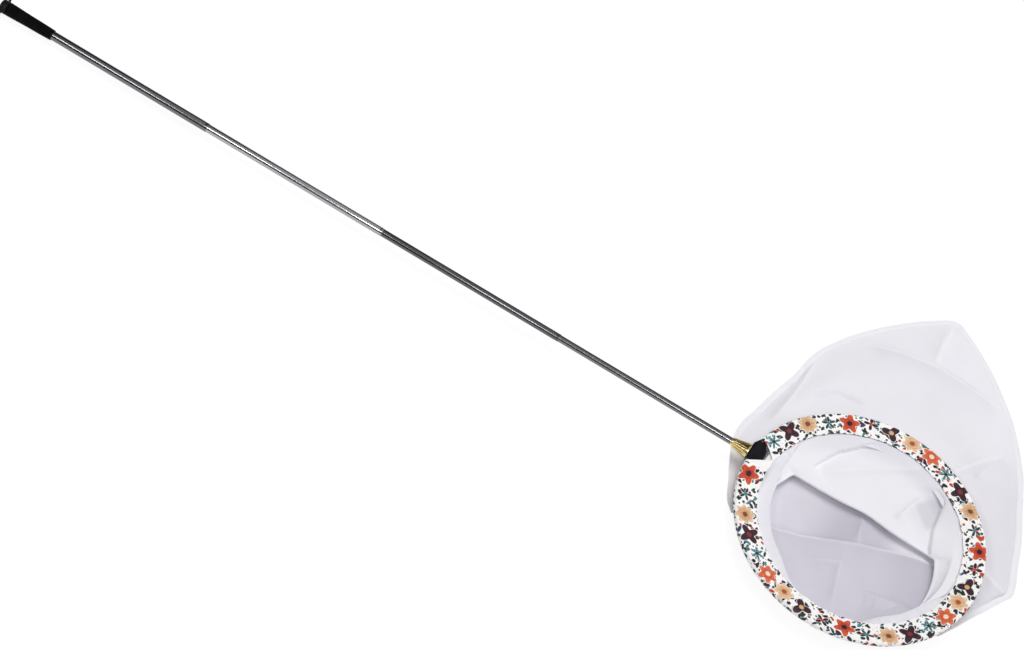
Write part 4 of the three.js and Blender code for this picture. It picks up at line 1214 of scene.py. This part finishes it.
def make_upper_panel():
    """From the hem in to the fold, back out under the band and on to the edge seam."""
    angle = np.linspace(SEAM_START - SIDE_BLEND, SEAM_END + SIDE_BLEND, UPPER_STATIONS)[:, None]
    far = np.maximum(np.sin(angle), 0) ** 2
    seam = np.clip(angle, SEAM_START, SEAM_END)
    mouth, mouth_height = mouth_edge(angle)
    edge_r, edge_z = bag_radius(seam) - SEAM_WIDTH + 1.5, SEAM_THICKNESS - 0.1
    straight = (FOLD_LINE + FOLD_BOW * far) / np.maximum(np.sin(angle), FOLD_LINE / HOOP_RADIUS)
    side_depth = np.interp(np.degrees(angle), *np.array(FOLD_SIDE_DEPTH).T)
    fold = softly_least(straight, mouth - side_depth, 1.6)
    fold_start = fold + FOLD_RADIUS
    under = np.minimum(mouth, (fold_start + edge_r) / 2)
    outside = np.minimum(HOOP_RADIUS + SLEEVE_RADIUS, (under + edge_r) / 2)
    under_height = UNDER_BAND_HEIGHT * (0.35 + 0.65 * smooth(np.sin(angle) / 0.5))

    # The flap inside the hoop, lapped over the hem on the far side
    outer, outer_height, inner, inner_height = hem_edges(angle)
    covering = span(angle, SEAM_START, LAP_FADE, LAP_END, LAP_FADE)
    lapped = mouth + (outer - inner - HEM_SHOWN) * covering
    s = np.linspace(0, 1, FLAP_STEPS)[None, :]
    flap_r = lapped + (fold_start - lapped) * s
    inward = np.clip((mouth - flap_r) / (mouth - fold_start), 0, 1)
    on_hem = np.maximum(flap_r - mouth, 0) * (outer_height - inner_height) / (outer - inner)
    flap_top = FOLD_HEIGHT + FOLD_RADIUS
    flap_z = flap_top + (mouth_height - flap_top) * (1 - inward) ** 1.5
    flap_z = flap_z + on_hem + (CLOTH + LAP_GAP) * covering * smooth(1 - inward / 0.3)
    flap_z = flap_z + span(s, 0, 0.12, 1, 0.06) * flap_creases(*polar(flap_r, angle))

    # The fold, and the layer that goes back out under the flap
    turn = np.linspace(0, math.pi, BEND_STEPS + 2)[None, 1:-1]
    bend_r = fold + FOLD_RADIUS * (1 - np.sin(turn))
    bend_z = FOLD_HEIGHT + FOLD_RADIUS * np.cos(turn) + 0 * angle
    s = np.linspace(0, 1, UNDER_STEPS)[None, :]
    under_r = fold_start + (under - fold_start) * s
    under_z = FOLD_HEIGHT - FOLD_RADIUS + (under_height - FOLD_HEIGHT + FOLD_RADIUS) * smooth(s)

    # On under the band to the edge seam
    s = np.linspace(0, 1, OUTER_STEPS)[None, 1:]
    outer_r = under + (edge_r - under) * s
    past = np.clip((outer_r - outside) / np.maximum(edge_r - outside, 1), 0, 1)
    puff = PUFF_HEIGHT * far * np.sin(math.pi * past) ** 2
    outer_z = under_height + (edge_z - under_height) * past + puff
    lying = span(past, 0, 0.1, 1, 0.08)
    outer_z = outer_z + lying * creases(*polar(outer_r, angle), OUTER_FOLDS, *OUTER_SWELL)

    radius = np.concatenate([flap_r, bend_r, under_r, outer_r], 1)
    height = np.concatenate([flap_z, bend_z, under_z, outer_z], 1)
    gone = climbs(angle)
    height = height + (mouth_height - height) * gone
    x, y = polar(radius + (mouth - radius) * gone, angle)
    inside = np.arange(radius.shape[1])[None, :] < FLAP_STEPS + BEND_STEPS
    uv = tones(np.where(inside, flap_shade_and_tone(x, y), outer_shade_and_tone(x, y)))
    rows = on_floor(x, y, height)
    panel = thickened(lofted("bag_upper_cloth", rows, mesh_outside, uv, "shade_and_tone", sharp=180), CLOTH)
    return settle(panel, "head", "white_mesh", "bag_upper_panel")


def lower_shade_and_tone(x, y):
    """Painted shade: palest to the left over the long crease, darkest in the pocket under the flap, in the flap's
    shadow.
    """
    over, _ = beside(LONG_CREASE, x, y)
    in_pocket = smooth((x + 2) / 8)
    left, pocket = 0.26 + 0.44 * smooth((x + 80) / 70), 0.56 - 0.8 * smooth((x - 30) / 50)
    above = left * (1 - in_pocket) + pocket * in_pocket
    near, passed = beside(PLATEAU_LINE, x, y)
    plateau = smooth((2 - near) / 4) * smooth(passed / 0.5)
    below = 0.4 + 0.16 * smooth((x - 40) / 50) - 0.12 * plateau
    return below + (above - below) * smooth((over + 3) / 5) + all_pressed(x, y, LOWER_FOLDS)


def make_lower_panel():
    """Flat on the floor out to the edge seam, and up to the hem on the near side."""
    angle = circle(LOWER_STATIONS, SEAM_START)
    near_share = climbs(angle)
    seam = np.where(angle <= SEAM_END, angle, np.where(angle < 1.5 * math.pi, SEAM_END, SEAM_START))
    mouth, mouth_height = mouth_edge(angle)
    floor = CLOTH / 2 + 0.1
    s = np.linspace(0, 1, LOWER_STEPS)[None, :]
    edge_r = bag_radius(seam) - SEAM_WIDTH - SEAT_GAP
    radius = (edge_r + (mouth - edge_r) * near_share) * s
    x, y = polar(radius, angle)
    rise = np.clip((radius - (mouth - NEAR_DROP)) / NEAR_DROP, 0, 1)
    climb = near_share * (mouth_height - floor) * rise**2 * (1.6 - 0.6 * rise)
    off, passed = beside(PLATEAU_LINE, x, y)
    beyond = smooth((3 - off) / 8) * span(passed, 0, 0.6, 1, 0.1) * near_share
    plateau = beyond * (PLATEAU_HEIGHT + (mouth_height - PLATEAU_HEIGHT) * np.clip(-off / 60, 0, 1) ** 1.3)
    inside = smooth((mouth - 8 - radius) / 25) * smooth((FOLD_LINE + 40 - y) / 30)
    lying = inside * (creases(x, y, LOWER_FOLDS, *LOWER_SWELL) + LOWER_RAISE)
    height = floor + np.maximum(climb, np.where(s < 1, plateau, climb)) + lying
    rows, uv = on_floor(x, y, height), tones(lower_shade_and_tone(x, y), ring=True)
    panel = lofted("bag_lower_cloth", rows, mesh_inside_shaded, uv, "shade_and_tone", ring=True, sharp=180)
    return settle(thickened(panel, CLOTH), "head", "white_mesh", "bag_lower_panel")


SEAM_ROWS = (0.28, 0.72)  # the shares of the flange's width where its two rows of stitches dimple it
SEAM_COLUMNS = (3, 8)  # the points across the flange there
SEAM_DIMPLE, SEAM_DIMPLE_WIDTH = 0.35, 0.06


def make_seam():
    """The flat flange where the panels are joined, two thicknesses of cloth with a soft edge."""
    angle = np.linspace(SEAM_START, SEAM_END, SEAM_STATIONS)[:, None]
    inner, outer = bag_radius(angle) - SEAM_WIDTH - 0.6, bag_radius(angle)
    share = np.concatenate([np.linspace(0, 1, 12), [1.0], np.linspace(1, 0, 4)])[None, :]
    level = np.concatenate([np.ones(11), [0.75, 0.45, 0.12, 0, 0, 0]])[None, :]
    wave = np.maximum(ripple(angle, 21, [9, 17, 29, 41], 1.3), 0) * share**1.5
    dimple = SEAM_DIMPLE * sum(np.exp(-((share - row) / SEAM_DIMPLE_WIDTH) ** 2) for row in SEAM_ROWS)
    radius = inner + (outer - inner) * share + ripple(angle, 22, [31, 47, 83], 0.5) * (share - 0.5)
    height = 0.05 + level * (SEAM_THICKNESS - dimple) + wave
    rows = on_floor(*polar(radius, angle), height)
    flange = lofted("bag_seam_flange", rows, mesh_seam, loop=True, caps=True, sharp=60)
    settle(flange, "head", "white_mesh", "bag_edge_seam")
    return flange, [rows[:, column] for column in SEAM_COLUMNS]


upper_panel = make_upper_panel()
lower_panel = make_lower_panel()
flange, flange_rows = make_seam()


# Stitches, by a Geometry Nodes tree that sets one along each step of a line

STITCH_PITCH = 3.6
STITCH_LENGTH = 2.6
STITCH_WIDTH = 0.5
STITCH_RAISE = np.array([0, 0, 0.2])


def stitch_tree():
    tree = bpy.data.node_groups.new("stitches_along_lines", "GeometryNodeTree")
    inputs = dict(Lines="Geometry", Pitch="Float", Length="Float", Width="Float", Thread="Material")
    for name, kind in inputs.items():
        tree.interface.new_socket(name, in_out="INPUT", socket_type="NodeSocket" + kind)
    tree.interface.new_socket("Stitches", in_out="OUTPUT", socket_type="NodeSocketGeometry")
    given = add(tree, "NodeGroupInput").outputs
    points = add(tree, "GeometryNodeCurveToPoints", {
        "Curve": given["Lines"], "Length": given["Pitch"],
    }, mode="LENGTH").outputs
    bead = add(tree, "GeometryNodeMeshUVSphere", {"Segments": 6, "Rings": 4, "Radius": 0.5})
    form = add(tree, "ShaderNodeCombineXYZ", {0: given["Width"], 1: given["Width"], 2: given["Length"]})
    sewn = add(tree, "GeometryNodeInstanceOnPoints", {
        "Points": points["Points"], "Instance": bead.outputs["Mesh"],
        "Rotation": points["Rotation"], "Scale": form.outputs[0],
    })
    real = add(tree, "GeometryNodeRealizeInstances", {0: sewn.outputs[0]})
    dyed = add(tree, "GeometryNodeSetMaterial", {"Geometry": real.outputs[0], "Material": given["Thread"]})
    add(tree, "NodeGroupOutput", {0: dyed.outputs[0]})
    return tree


def make_stitches(name, lines):
    data = bpy.data.curves.new(name, "CURVE")
    data.dimensions = "3D"
    for line in lines:
        spline = data.splines.new("POLY")
        spline.points.add(len(line) - 1)
        places = np.c_[to_row(line + STITCH_RAISE), np.ones(len(line))]
        spline.points.foreach_set("co", places.astype(np.float32).ravel())
    route = linked(name + "_route", data)
    tree = stitch_tree()
    sewing = route.modifiers.new("sewing", "NODES")
    sewing.node_group = tree
    given = {
        "Pitch": STITCH_PITCH * MM, "Length": STITCH_LENGTH * MM, "Width": STITCH_WIDTH * MM,
        "Thread": thread_white,
    }
    for item in tree.interface.items_tree:
        if item.name in given:
            sewing[item.identifier] = given[item.name]
    mesh = modified_mesh(route)
    mesh.shade_smooth()
    bpy.data.objects.remove(route)
    stitches = linked(name, mesh)
    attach(stitches, "head")
    return stitches


hem_stitches = make_stitches("band_stitches", [band_rows[:, 1]])
seam_stitches = make_stitches("seam_stitches", flange_rows)


# Solids that keep their shape get their finish

kept_solids = {"hoop_wire": spring, "hoop_stud": spring}
for n in (2, 3, 4):
    kept_solids |= {f"stop_plug_{n}": nylon, f"spring_ring_{n}": spring}
for name, material in kept_solids.items():
    frame["nodes"][name].data.materials.clear()
    frame["nodes"][name].data.materials.append(material)


# Floor, world and lights

FLOOR_REACH = 12
WHITE = (1, 1, 1, 1)


def white_sweep(tree):
    """A painted sweep: white to the eye and in reflections, with a faint shadow, and matt to other light."""
    path = add(tree, "ShaderNodeLightPath").outputs
    eye, mirror, glass = (path[f"Is {kind} Ray"] for kind in ("Camera", "Glossy", "Transmission"))
    seen = add(tree, "ShaderNodeMath", {0: eye, 1: mirror}, operation="MAXIMUM")
    shown = add(tree, "ShaderNodeMath", {0: seen, 1: glass}, operation="MAXIMUM")
    glow = add(tree, "ShaderNodeEmission", {"Color": WHITE, "Strength": 0.88})
    faint = add(tree, "ShaderNodeBsdfDiffuse", {"Color": (0.16, 0.16, 0.16, 1)})
    bright = add(tree, "ShaderNodeAddShader", {0: glow, 1: faint})
    matt = tree.nodes["Principled BSDF"]
    mixed = add(tree, "ShaderNodeMixShader", {0: shown, 1: matt, 2: bright})
    fill(tree, tree.nodes["Material Output"], {"Surface": mixed})
    return {"Base Color": linear("#E8E8E8"), "Roughness": 0.9}


def make_floor():
    mesh = bpy.data.meshes.new("white_sweep")
    corners = [(-1, -1, 0), (1, -1, 0), (1, 1, 0), (-1, 1, 0)]
    mesh.from_pydata([FLOOR_REACH * Vector(place) for place in corners], [], [(0, 1, 2, 3)])
    mesh.materials.append(made_of(white_sweep))
    floor = linked("white_sweep", mesh)


def make_world():
    """A grey room with a ceiling that is paler over the hoop, and a white backdrop low behind the floor."""
    world = bpy.data.worlds.new("grey_room")
    bpy.context.scene.world = world
    world.use_nodes = True
    tree = world.node_tree
    place = add(tree, "ShaderNodeTexCoord").outputs["Generated"]
    along, _, height = add(tree, "ShaderNodeSeparateXYZ", {0: place}).outputs
    leaning = add(tree, "ShaderNodeMath", {0: along, 1: 1.2, 2: height}, operation="MULTIPLY_ADD")
    room = add(tree, "ShaderNodeValToRGB", {0: leaning}, [
        (0.55, "#1A1A1A"), (0.8, "#C8C8C8"), (1, "#D6D6D6"),
    ])
    low = add(tree, "ShaderNodeMath", {0: height, 1: 0.12}, operation="LESS_THAN")
    seen = add(tree, "ShaderNodeMix", {"Factor": low, 6: room, 7: WHITE}, data_type="RGBA").outputs[2]
    fill(tree, tree.nodes["Background"], {"Color": seen})


def make_lamp(name, place, size, power, along_pole=0, mirrored=True):
    """A soft box aimed at the middle of the net, or a strip beside the pole that lights straight across it.

    place is from the hoop's middle, in metres.
    """
    data = bpy.data.lights.new(name, "AREA")
    data.shape = "RECTANGLE"
    data.size = along_pole or size
    data.size_y = size
    data.energy = power
    lamp = linked(name, data)
    lamp.visible_glossy = mirrored
    lamp.location = Vector(to_row((ring_x, -HOOP_OFFSET, HOOP_HEIGHT))) + Vector(place)
    towards = -Vector(place)
    if along_pole:
        towards.x = 0
    lamp.rotation_euler = towards.to_track_quat("-Z", "Y").to_euler()


bpy.context.scene.view_settings.view_transform = "Standard"
make_floor()
make_world()
make_lamp("key_box_right", (-0.1, -1.95, 2.75), 0.6, 20)
make_lamp("key_strip_left", (-1.75, -1.95, 2.75), 0.5, 26, along_pole=1.3)
make_lamp("top_box", (-0.4, 1.7, 2.8), 2.2, 56, mirrored=False)
